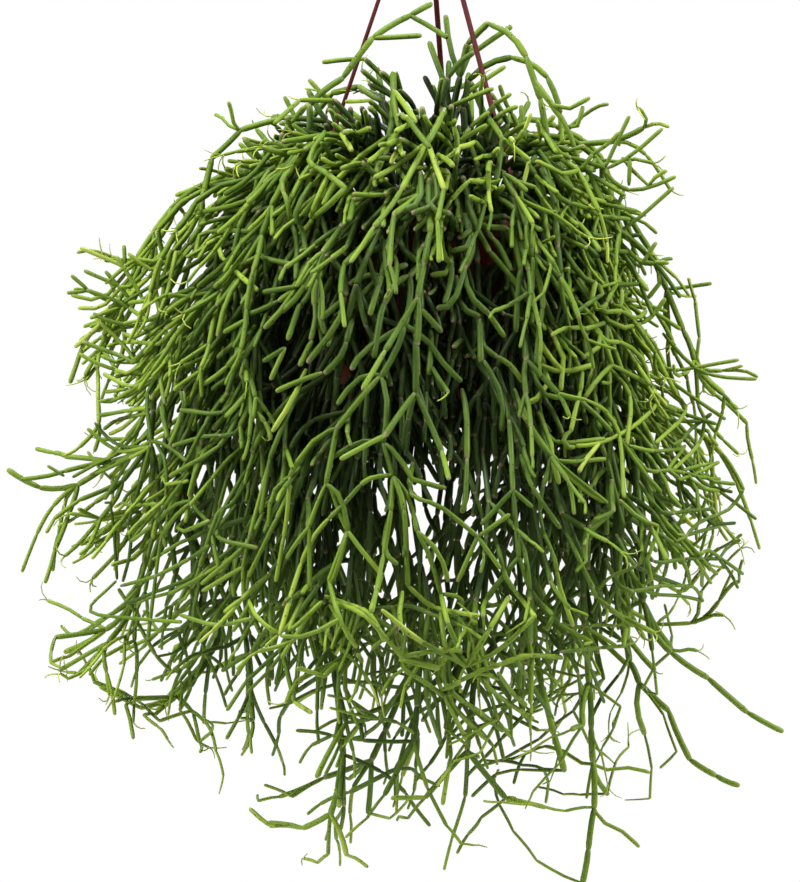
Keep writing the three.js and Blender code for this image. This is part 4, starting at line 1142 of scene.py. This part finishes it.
def makeStemLook():
    s = stemLook
    look, shader = newLook("jointedStem")
    grown = node(look, "Attribute", attribute_name="grown")
    parts = node(look, "SeparateColor")
    join(look, grown.outputs["Color"], parts.inputs[0])
    age, along, chance = parts.outputs[0], parts.outputs[1], parts.outputs[2]
    patch, mottle = noiseNode(look, s["patches"][0], 2), noiseNode(look, s["mottle"][0], 3, 0.6)
    # freshness runs from the old wood to the tips, and a little up every joint
    fresh = varied(look, age, along, 0.5, s["along"])
    fresh = varied(look, fresh, patch, 0.5, s["patches"][1])
    fresh = varied(look, fresh, mottle, 0.5, s["mottle"][1])
    fresh = varied(look, fresh, chance, 0.5, s["chance"])
    # painted shade: joints deep inside the mop take a darker green
    fresh = varied(look, fresh, grown.outputs["Alpha"], 1.0, s["innerShade"])
    # a joint here and there is this year's and much brighter
    picked = ramp(look, chance, ((0.955, 0), (0.965, s["young"])))
    fresh = added(look, fresh, times(look, picked, ramp(look, age, ((0.2, 0), (0.3, 1)))))
    green = ramp(look, fresh, s["greens"])
    # a thin waxy bloom on some older joints
    picked = ramp(look, chance, ((0.55, 0), (0.95, s["wax"])))
    green = mix(look, times(look, picked, ramp(look, age, ((0.1, 1), (0.6, 0)))), green, s["waxTint"])
    # dark areoles, each a tiny felted dot
    dots = node(look, "TexVoronoi", {"Scale": s["areoles"], "Randomness": 0.85}, feature="F1")
    join(look, node(look, "TexCoord").outputs["Object"], dots.inputs["Vector"])
    speck = ramp(look, dots.outputs["Distance"], ((0.10, 0.85), (0.17, 0)))
    green = mix(look, speck, green, s["speck"])
    # pale corky scars where old joints meet
    scar = ramp(look, along, ((0.0, 0.9), (0.035, 0.35), (0.07, 0)))
    tip = ramp(look, along, ((0.94, 0), (0.975, 0.4), (1.0, 0.95)))
    worn = times(look, added(look, scar, tip, True), ramp(look, chance, ((0.36, 0), (0.56, 1))))
    worn = times(look, worn, ramp(look, age, ((0.25, 0.9), (0.62, 0.12))))
    worn = times(look, worn, ramp(look, mottle, ((0.35, 0.4), (0.6, 1))))
    green = mix(look, worn, green, s["cork"])
    # the very ends of the freshest joints are tipped red-brown
    tip, ripe = ramp(look, along, ((0.95, 0), (0.99, 1))), ramp(look, age, ((0.78, 0), (0.9, 0.8)))
    bract = times(look, times(look, tip, ripe), ramp(look, chance, ((0.5, 0), (0.7, 1))))
    green = mix(look, bract, green, s["bract"])
    # painted shade: the colour of joints deep inside the mop is darkened
    shade = ramp(look, grown.outputs["Alpha"], ((0, s["inside"]), (1, 1.0)))
    join(look, mix(look, 1, green, shade, "MULTIPLY"), shader.inputs["Base Color"])
    rough = added(look, times(look, mottle, s["glossVaries"]), s["gloss"])
    join(look, added(look, rough, times(look, worn, s["wornRough"])), shader.inputs["Roughness"])
    shader.inputs["Specular IOR Level"].default_value = s["shine"]
    strength, distance, dent = s["bump"]
    bump(look, shader, added(look, mottle, times(look, speck, dent)), strength, distance)
    return look


potLook = {"colour": (0.10, 0.012, 0.007), "faded": (0.14, 0.022, 0.012), "dust": (0.07, 0.035, 0.022),
           "gloss": 0.42, "shine": 0.25, "dustRough": 0.4, "bump": (0.18, 0.0004)}
hangerLook = dict(potLook, colour=(0.050, 0.0045, 0.004), faded=(0.075, 0.008, 0.006),
                  dust=(0.05, 0.02, 0.015), gloss=0.62, shine=0.15)


def makePotLook(name, colours):
    look, shader = newLook(name)
    cloudy = noiseNode(look, 26, 4)
    fine = noiseNode(look, 900, 2)
    body = mix(look, ramp(look, cloudy, ((0.35, 0), (0.75, 1))), colours["colour"], colours["faded"])
    dust = ramp(look, noiseNode(look, 90, 5, 0.65), ((0.5, 0), (0.72, 0.55)))
    body = mix(look, dust, body, colours["dust"])
    join(look, body, shader.inputs["Base Color"])
    rough = added(look, times(look, dust, colours["dustRough"]), colours["gloss"])
    join(look, rough, shader.inputs["Roughness"])
    shader.inputs["Specular IOR Level"].default_value = colours["shine"]
    # faint rings left by the mould, and a fine orange peel
    streak = noiseNode(look, 60, 2, 0.5, (1, 1, 24))
    bump(look, shader, added(look, times(look, streak, 0.5), fine), *colours["bump"])
    return look


soilLook = {"dark": (0.012, 0.008, 0.005), "bark": (0.075, 0.042, 0.022), "perlite": (0.62, 0.59, 0.52)}


def makeSoilLook():
    look, shader = newLook("pottingSoil")
    coarse = noiseNode(look, 160, 6, 0.7)
    body = ramp(look, coarse, ((0.35, soilLook["dark"]), (0.62, soilLook["bark"])))
    grit = node(look, "TexVoronoi", {"Scale": 130}, feature="F1")
    join(look, node(look, "TexCoord").outputs["Object"], grit.inputs["Vector"])
    light = ramp(look, grit.outputs["Distance"], ((0.09, 0.9), (0.15, 0)))
    join(look, mix(look, light, body, soilLook["perlite"]), shader.inputs["Base Color"])
    join(look, ramp(look, coarse, ((0.3, 0.96), (0.7, 0.78))), shader.inputs["Roughness"])
    bump(look, shader, noiseNode(look, 420, 5, 0.7), 0.8, 0.0015)
    return look


def addPiece(name, bm, look, slot, *nodes):
    bmesh.ops.remove_doubles(bm, verts=bm.verts, dist=1e-6)
    bmesh.ops.recalc_face_normals(bm, faces=bm.faces)
    mesh = bpy.data.meshes.new(name)
    bm.to_mesh(mesh)
    bm.free()
    return dressPiece(name, mesh, look, slot, *nodes)


def dressPiece(name, mesh, look, slot, *nodes):
    mesh.materials.clear()
    mesh.materials.append(look)
    piece = bpy.data.objects.new(name, mesh)
    bpy.context.collection.objects.link(piece)
    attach(piece, "root")
    if nodes:
        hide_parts(*nodes)
    return piece


def around(radius, degrees):
    return (radius * math.cos(math.radians(degrees)), radius * math.sin(math.radians(degrees)))


def spun(profile, steps):
    bm = bmesh.new()
    line = [bm.verts.new((r * mm, 0, z * mm)) for r, z in profile]
    edges = [bm.edges.new(pair) for pair in zip(line, line[1:])]
    bmesh.ops.spin(bm, geom=line + edges, cent=(0, 0, 0), axis=(0, 0, 1), angle=2 * math.pi, steps=steps,
                   use_merge=True)
    bmesh.ops.remove_doubles(bm, verts=bm.verts, dist=1e-6)
    bmesh.ops.recalc_face_normals(bm, faces=bm.faces)
    return bm


def shadeSmooth(bm, sharp=40):
    for face in bm.faces:
        face.smooth = True
    for edge in bm.edges:
        if len(edge.link_faces) == 2 and edge.calc_face_angle() > math.radians(sharp):
            edge.smooth = False


def dropDrawn(drawn, curve, mesh=None):
    bpy.data.objects.remove(drawn)
    bpy.data.curves.remove(curve)
    if mesh:
        bpy.data.meshes.remove(mesh)


# a flat plate cut from a drawn outline with holes, its edges rounded over
def plate(outlines, thick, edge, place, bm):
    curve = bpy.data.curves.new("plateOutline", "CURVE")
    curve.dimensions, curve.fill_mode = "2D", "BOTH"
    curve.extrude, curve.bevel_depth, curve.bevel_resolution = (thick / 2 - edge) * mm, edge * mm, 2
    curve.offset = -edge * mm
    for points in outlines:
        spline = curve.splines.new("POLY")
        spline.points.add(len(points) - 1)
        for point, (x, y) in zip(spline.points, points):
            point.co = (x * mm, y * mm, 0, 1)
        spline.use_cyclic_u = True
    drawn = bpy.data.objects.new("plateOutline", curve)
    mesh = bpy.data.meshes.new_from_object(drawn)
    mesh.transform(place)
    start = len(bm.verts)
    bm.from_mesh(mesh)
    bm.verts.ensure_lookup_table()
    bmesh.ops.remove_doubles(bm, verts=bm.verts[start:], dist=1e-6)
    dropDrawn(drawn, curve, mesh)


def roundedBox(wide, long, corner, steps=5):
    points = []
    for sx, sy, first in ((1, 1, 0), (-1, 1, 90), (-1, -1, 180), (1, -1, 270)):
        for k in range(steps + 1):
            x, y = around(corner, first + 90 * k / steps)
            points.append((sx * (wide / 2 - corner) + x, sy * (long / 2 - corner) + y))
    return points


# the pot: tapering wall with one raised ring, rolled lip, foot ring and three slotted lugs
potShape = {"wall": 2.2, "floor": 3, "lipDepth": 11, "lipOut": 2.2, "roll": 1.0, "round": 96,
            "foot": (8, 7, 1.5, 0.4), "footHigh": 0.8, "ring": 58.8, "ringHalf": 1.2, "ringOut": 0.35,
            "lugOut": 5, "lugWide": 11, "lugThick": 3, "slotAlong": 4.4, "slotAcross": 4}


def outerAt(z):
    return pot["rim"] + (pot["base"] - pot["rim"]) * (pot["rimZ"] - z) / pot["height"]


def makePot(look):
    p, top, base = potShape, pot["rimZ"], pot["base"]
    bottom, lip, roll = top - pot["height"], pot["rim"] + p["lipOut"], p["roll"]
    floorZ, wall = bottom + p["floor"], p["wall"]
    rolled = [(lip - roll + x, top - roll + z) for x, z in (around(roll, a) for a in (0, 30, 60, 90))]
    under, edge, outer, turned = (base - v for v in p["foot"])
    profile = [(0, bottom + p["footHigh"]), (under, bottom + p["footHigh"]), (edge, bottom),
               (outer, bottom), (turned, bottom + 0.5), (outerAt(bottom + 1.6), bottom + 1.6)]
    for side, out in ((1, 0), (0, p["ringOut"]), (-1, 0)):
        z = top - (p["ring"] + side * p["ringHalf"])
        profile.append((outerAt(z) + out, z))
    under = top - p["lipDepth"]
    profile += [(outerAt(under - 1), under - 1), (outerAt(under) + 0.5, under), (lip - 0.6, under + 0.4),
                (lip, under + 1.2), *rolled, (outerAt(top) - wall + 1, top),
                (outerAt(top - 1) - wall, top - 1),
                (outerAt(top - 2) - wall - 0.2, top - 2.4), (outerAt(floorZ) - wall - 0.2, floorZ + 2),
                (outerAt(floorZ) - wall - 2, floorZ), (0, floorZ)]
    bm = spun(profile, p["round"])
    for angle in hanger["lugAngles"]:
        wide = pot["rim"] + p["lipOut"] - 3
        long = hanger["lugRing"] + p["lugOut"] - wide
        middle = wide + long / 2
        box = roundedBox(p["slotAlong"], p["slotAcross"], 1)
        slot = [(x + hanger["lugRing"] - middle, y) for x, y in box]
        turn = Matrix.Rotation(math.radians(angle), 4, "Z")
        where = turn @ Matrix.Translation((middle * mm, 0, (top - 1 - p["lugThick"] / 2) * mm))
        plate([roundedBox(long, p["lugWide"], 2), slot], p["lugThick"], 0.5, where, bm)
    shadeSmooth(bm)
    piece = addPiece("pot_body", bm, look, "pot", "pot")
    print("pot", len(piece.data.polygons), "faces")


# the hanger: a hub plate and a round rod that rises and turns over into the hook
hookShape = {"hubRadius": 11, "hubThick": 3, "hubRound": 48, "rod": 2, "loop": 11, "turn": 218, "bends": 22,
             "sides": 4, "ends": ((1.25, 1.12), (0.96, 0.85)),
             "stem": ((0, -47), (0, -40), (0, -34), (0.9, -29.5), (3.6, -24.6), (7.1, -19.8), (9.6, -15.2))}


def makeHook(look):
    h, bm = hookShape, bmesh.new()
    loopZ = h["rod"] - h["loop"]
    line = list(h["stem"])
    for k in range(h["bends"] + 1):
        x, z = around(h["loop"], h["turn"] * k / h["bends"])
        line.append((x, loopZ + z))
    widths = [*h["ends"][0], *[1] * (len(line) - 4), *h["ends"][1]]
    rodBetween(bm, [(x, 0, z) for x, z in line], [h["rod"] * w for w in widths], h["sides"])
    hub = [around(h["hubRadius"], 360 * k / h["hubRound"]) for k in range(h["hubRound"])]
    holes = []
    for angle in hanger["lugAngles"]:
        a = math.radians(angle)
        box = roundedBox(potShape["slotAlong"], potShape["slotAcross"], 1)
        slot = [(x + hanger["hubRing"], y) for x, y in box]
        holes.append([(x * math.cos(a) - y * math.sin(a), x * math.sin(a) + y * math.cos(a))
                      for x, y in slot])
    where = Matrix.Translation((0, 0, (hanger["hubZ"] + h["hubThick"] / 2) * mm))
    plate([hub, *holes], h["hubThick"], 0.6, where, bm)
    shadeSmooth(bm)
    addPiece("hook_rod", bm, look, "hanger", "hook")
    print("hook made")


roundOff = ((0.9, 0), (0.75, 0.55), (0.4, 0.87))  # past an end and how wide there, in radii


def rodBetween(bm, points, widths, sides):  # a round rod along a line, rounded off at both ends
    curve = bpy.data.curves.new("rodLine", "CURVE")
    curve.dimensions, curve.bevel_depth, curve.bevel_resolution = "3D", mm, sides
    ways = [(Vector(b) - Vector(a)).normalized() for a, b in zip(points, points[1:])]
    line = [(Vector(points[0]) - ways[0] * widths[0] * k, widths[0] * w) for k, w in roundOff]
    line += [(Vector(p), w) for p, w in zip(points, widths)]
    line += [(Vector(points[-1]) + ways[-1] * widths[-1] * k, widths[-1] * w) for k, w in reversed(roundOff)]
    spline = curve.splines.new("POLY")
    spline.points.add(len(line) - 1)
    for point, (place, width) in zip(spline.points, line):
        point.co, point.radius = (*(place * mm), 1), width
    drawn = bpy.data.objects.new("rodLine", curve)
    mesh = bpy.data.meshes.new_from_object(drawn)
    bm.from_mesh(mesh)
    dropDrawn(drawn, curve, mesh)


# the straps: flat bands through the slots, held by a knob past either end
strapShape = {"wide": 3.2, "thick": 2, "knobWide": 6.4, "knobLong": 3, "past": 0.75}


def makeStraps(look):
    s = strapShape
    for k, angle in enumerate(hanger["lugAngles"]):
        low = Vector((hanger["lugRing"], 0, pot["rimZ"] - 1 - potShape["lugThick"]))
        high = Vector((hanger["hubRing"], 0, hanger["hubZ"] + hookShape["hubThick"]))
        along = (high - low).normalized()
        half = (high - low).length / 2 + s["past"]
        across = Vector((0, 1, 0))
        axes = Matrix((across, along, across.cross(along))).transposed().to_4x4()
        turn = Matrix.Rotation(math.radians(angle), 4, "Z")
        bm = bmesh.new()
        where = turn @ Matrix.Translation((low + high) / 2 * mm) @ axes
        plate([roundedBox(s["wide"], 2 * half + 1, 0.6, 3)], s["thick"], 0.45, where, bm)
        for side in (-1, 1):
            spot = where @ Matrix.Translation((0, side * (half + s["knobLong"] / 2) * mm, 0))
            plate([roundedBox(s["knobWide"], s["knobLong"], 1, 4)], s["thick"], 0.5, spot, bm)
        shadeSmooth(bm)
        addPiece(f"strap_band_{k + 1}", bm, look, "hanger", f"strap_{k + 1}")
    print("straps made")


# the soil: a bumpy bed with crumbs, bark and pale grit pressed into it
soilShape = {"slip": 0.35, "rings": 26, "round": 90, "rough": 1.6, "waves": ((90, 1.2), (330, 0.6)),
             "crumbs": 420, "smallest": 0.7, "largest": 2.6}


def makeSoil(look):
    s = soilShape
    bottom = pot["rimZ"] - pot["height"] + potShape["floor"] + s["slip"]
    top = outerAt(soilZ) - potShape["wall"] - 0.2 - s["slip"]
    base = outerAt(bottom) - potShape["wall"] - 0.2 - s["slip"]
    profile = [(top * k / s["rings"], soilZ) for k in range(s["rings"] + 1)]
    profile += [(top + (base - top) * k / 4, soilZ + (bottom - soilZ) * k / 4) for k in (1, 2, 3, 4)]
    profile.append((0, bottom))
    bm = spun(profile, s["round"])
    for vert in bm.verts:
        if vert.co.z > (soilZ - 1) * mm:
            edge = min(1, (top - away(vert.co) / mm) / 4)
            rise = sum(noise.noise(vert.co * scale) * high for scale, high in s["waves"])
            vert.co.z += rise * s["rough"] * max(0, edge) * mm
    draw = makeDraw(seeds["soil"])
    for _ in range(s["crumbs"]):
        rho, turn = top * 0.97 * math.sqrt(draw()), draw(0, 2 * math.pi)
        size3 = [draw(s["smallest"], s["largest"]) * draw(0.6, 1.2) * mm for _ in range(3)]
        place = Vector((rho * math.cos(turn), rho * math.sin(turn), soilZ + draw(-0.6, 1.0))) * mm
        spin3 = Matrix.Rotation(draw(0, 6.28), 4, "X") @ Matrix.Rotation(draw(0, 6.28), 4, "Z")
        shape = Matrix.Translation(place) @ spin3 @ Matrix.Diagonal((*size3, 1))
        bmesh.ops.create_icosphere(bm, subdivisions=1, radius=1, matrix=shape)
    shadeSmooth(bm, 60)
    addPiece("soil_bed", bm, look, "soil", "soil")
    print("soil made")


# one joint of stem: where its rings lie from base to tip, in radii past a share of its length,
# and how wide each is
jointRings = ((-0.45, 0, 0), (0, 0, 0.66), (0.8, 0.08, 0.96), (0, 0.38, 1.0), (0, 0.68, 1.0),
              (-1.1, 0.97, 1.05), (-0.1, 1, 0.88), (0.4, 1, 0.5), (0.52, 1, 0))
slimRings = ((-0.45, 0, 0), (0, 0.02, 0.84), (0, 0.38, 1.0), (0, 0.7, 1.0), (-0.4, 0.99, 0.96),
             (0.3, 1, 0.62), (0.52, 1, 0))
# "slim" and "curled" are the radii below which joints have fewer rings and taper off
stemShape = {"bevel": 1, "bow": 1.1, "main": 2.2, "filler": 1.95, "thinner": 0.3, "slim": 1.15, "curled": 0.8,
             "taper": 0.45, "groups": 8}
# how fresh joints are: main ones, their sides, the twigs and those in front, each from a start up by share
# along the stem and by order; then what the outline adds, fresher growth and painted light together, and the
# painted shade that the hollow in front takes off
freshnessAndShade = {"main": (0.05, 0.2), "side": (0.12, 0.15, 0.08), "twig": (0.08, 0.14, 0.055),
             "front": (0.07, 0.055), "outline": (0.32, 45, 1.5), "hollow": 140}


def jointLine(points, radius, draw):
    if len(points) == 2:  # straight joints get a slight bow
        heading = unit(plus(points[1], points[0], -1))
        side = sideways(heading, points[0], draw(0, fullTurn))
        middle = scaled(plus(points[0], points[1]), 0.5)
        points = [points[0], plus(middle, side, draw(-1, 1) * stemShape["bow"]), points[1]]
    length = sum(size(plus(b, a, -1)) for a, b in zip(points, points[1:]))
    line = []
    for past, share, width in slimRings if radius < stemShape["slim"] else jointRings:
        s = share + past * radius / length
        if s < 0:
            p = plus(points[0], unit(plus(points[1], points[0], -1)), s * length)
        elif s > 1:
            p = plus(points[-1], unit(plus(points[-1], points[-2], -1)), (s - 1) * length)
        else:
            p = lineAt(points, s)
        taper = 1 - stemShape["taper"] * max(0, s) if radius < stemShape["curled"] else 1
        line.append((p, radius * width * taper, max(0, min(1, s))))
    return line


def makeSpray(name, joints, look, *nodes):
    curve = bpy.data.curves.new(name, "CURVE")
    curve.dimensions, curve.bevel_depth, curve.bevel_resolution = "3D", mm, stemShape["bevel"]
    grown = []
    sides = 4 + 2 * stemShape["bevel"]
    for line, age, chance in joints:
        spline = curve.splines.new("POLY")
        spline.points.add(len(line) - 1)
        spline.points.foreach_set("co", [v for p, _, _ in line for v in (p[0] * mm, p[1] * mm, p[2] * mm, 1)])
        spline.points.foreach_set("radius", [width for _, width, _ in line])
        for p, _, share in line:
            # the fourth value is painted shade, by how deep inside the mop the point lies
            grown += [age, share, chance, openAt(p)] * sides
    drawn = bpy.data.objects.new(name + "_line", curve)
    mesh = bpy.data.meshes.new_from_object(drawn)
    dropDrawn(drawn, curve)
    mesh.name = name
    mesh.attributes.new("grown", "FLOAT_COLOR", "POINT").data.foreach_set("color", grown)
    bm = bmesh.new()
    bm.from_mesh(mesh)
    bmesh.ops.remove_doubles(bm, verts=bm.verts, dist=1e-7)
    bmesh.ops.recalc_face_normals(bm, faces=bm.faces)
    bm.to_mesh(mesh)
    bm.free()
    mesh.polygons.foreach_set("use_smooth", [True] * len(mesh.polygons))
    return dressPiece(name, mesh, look, "stems", *nodes)


def ageAndShadeOf(part, age):  # fresher growth and painted light towards the outline, painted shade where the front hangs back
    middle = part[len(part) // 2]
    more, deep, power = freshnessAndShade["outline"]
    return age + more * edgeOf(middle, deep) ** power - recess(middle) / freshnessAndShade["hollow"]


def jointsOf(stem, twigsOf, base, draw):
    joints, f = [], freshnessAndShade
    count = len(stem["joints"])
    for j, part in enumerate(stem["joints"]):
        radius = base - stemShape["thinner"] * j / count
        for half in ((part[:2], part[1:]) if longJoint(part) else (part,)):
            age = ageAndShadeOf(half, f["main"][0] + f["main"][1] * j / count)
            joints.append((jointLine(half, radius, draw), age, draw()))
    for side, share in stem["sides"]:
        for k, part in enumerate(side):
            age = ageAndShadeOf(part, f["side"][0] + f["side"][1] * share + f["side"][2] * k)
            joints.append((jointLine(part, orders[k + 1]["radius"], draw), age, draw()))
    for part, order, share, radius in twigsOf:
        if order > 0:
            age = ageAndShadeOf(part, f["twig"][0] + f["twig"][1] * share + f["twig"][2] * order)
        else:  # those in front say how fresh they are themselves
            age = f["front"][0] - f["front"][1] * order
        joints.append((jointLine(part, radius, draw), age, draw()))
    return joints


def makeSprays(look):
    thicket = Thicket()
    mains = growMains(thicket)
    stems = mains + growFillers(thicket)
    made = growTwigs(stems, thicket)
    mainCount = sum(len(stem["joints"]) for stem in stems)
    print("grown", mainCount, "main joints and", sum(map(len, made)), "twigs")
    faces = 0
    first, step = seeds["sprayJoints"][1], seeds["sprayJoints"][0]
    for n, stem in enumerate(mains):
        joints = jointsOf(stem, made[n], stemShape["main"], makeDraw(step * n + first))
        name = f"spray_{n + 1:02d}"
        piece = makeSpray("jointed_" + name, joints, look, name)
        faces += len(piece.data.polygons)
    extra, groups = stems[len(mains):], stemShape["groups"]
    first, step = seeds["rimJoints"][1], seeds["rimJoints"][0]
    for k in range(groups):  # the stems between them, a few to a piece
        joints = []
        for n in range(k, len(extra), groups):
            draw = makeDraw(step * n + first)
            joints += jointsOf(extra[n], made[len(mains) + n], stemShape["filler"], draw)
        piece = makeSpray(f"rim_stems_{k + 1:02d}", joints, look)
        faces += len(piece.data.polygons)
    print("sprays", faces, "faces")


# a plain pale floor far below and a white backdrop; the light comes from a soft band round the
# horizon and from the lamps, and the rest of the studio is dim
studio = {"floorZ": -1.5, "floor": 1.3, "white": 1.0, "dim": 0.055, "glow": 1.0, "aim": (0, 0, -0.33),
          "band": ((-0.24, 0), (-0.17, 1), (0.112, 1), (0.16, 0))}
lamps = (
    {"name": "keyLamp", "at": (-0.9, -2.4, 1.5), "size": 0.7, "power": 7},
    {"name": "leftLamp", "at": (-2.2, -1.1, 0.9), "size": 0.8, "power": 102},
    {"name": "rightLamp", "at": (2.4, -0.6, 0.8), "size": 0.8, "power": 98},
    {"name": "topLamp", "at": (-0.2, -0.5, 2.3), "size": 0.9, "power": 112},
    {"name": "backLamp", "at": (0.3, 2.4, 1.0), "size": 1.0, "power": 40},
)


def makeStudio():
    bm = bmesh.new()
    bmesh.ops.create_circle(bm, cap_ends=True, segments=96, radius=studio["floor"])
    bmesh.ops.translate(bm, verts=bm.verts, vec=(0, 0, studio["floorZ"]))
    mesh = bpy.data.meshes.new("paleFloor")
    bm.to_mesh(mesh)
    bm.free()
    look, shader = newLook("paleFloor")
    soft = ramp(look, noiseNode(look, 3, 3), ((0.3, (0.90, 0.90, 0.89)), (0.7, (0.93, 0.93, 0.92))))
    join(look, soft, shader.inputs["Base Color"])
    shader.inputs["Roughness"].default_value = 0.9
    mesh.materials.append(look)
    floor = bpy.data.objects.new("paleFloor", mesh)
    bpy.context.collection.objects.link(floor)
    for lamp in lamps:
        data = bpy.data.lights.new(lamp["name"], "AREA")
        data.size, data.energy = lamp["size"], lamp["power"]
        light = bpy.data.objects.new(lamp["name"], data)
        light.location = lamp["at"]
        light.rotation_euler = (Vector(studio["aim"]) - light.location).to_track_quat("-Z", "Y").to_euler()
        bpy.context.collection.objects.link(light)
    world = bpy.data.worlds.new("whiteStudio")
    world.use_nodes = True
    made, links = world.node_tree.nodes, world.node_tree.links
    back = made["Background"]
    way = made.new("ShaderNodeSeparateXYZ")
    links.new(made.new("ShaderNodeTexCoord").outputs["Generated"], way.inputs[0])
    sky = made.new("ShaderNodeValToRGB")
    points = sky.color_ramp.elements
    while len(points) < len(studio["band"]):
        points.new(0.5)
    for point, (height, share) in zip(points, studio["band"]):
        light = studio["dim"] + (studio["glow"] - studio["dim"]) * share
        point.position, point.color = 0.5 + 0.5 * height, (light, light, light, 1)
    half = made.new("ShaderNodeMath")
    half.operation = "MULTIPLY_ADD"
    half.inputs[1].default_value = half.inputs[2].default_value = 0.5
    links.new(way.outputs["Z"], half.inputs[0])
    links.new(half.outputs[0], sky.inputs[0])
    seen = made.new("ShaderNodeMix")  # the backdrop itself is plain white, whichever way it is seen
    seen.data_type = "RGBA"
    seen.inputs[7].default_value = (studio["white"],) * 3 + (1,)
    links.new(made.new("ShaderNodeLightPath").outputs["Is Camera Ray"], seen.inputs[0])
    links.new(sky.outputs[0], seen.inputs[6])
    links.new(seen.outputs[2], back.inputs["Color"])
    bpy.context.scene.world = world
    bpy.context.scene.view_settings.view_transform = "Standard"
    print("studio made")


makeStudio()
makePot(makePotLook("potPlastic", potLook))
hangerPaint = makePotLook("hangerPlastic", hangerLook)
makeHook(hangerPaint)
makeStraps(hangerPaint)
makeSoil(makeSoilLook())
makeSprays(makeStemLook())
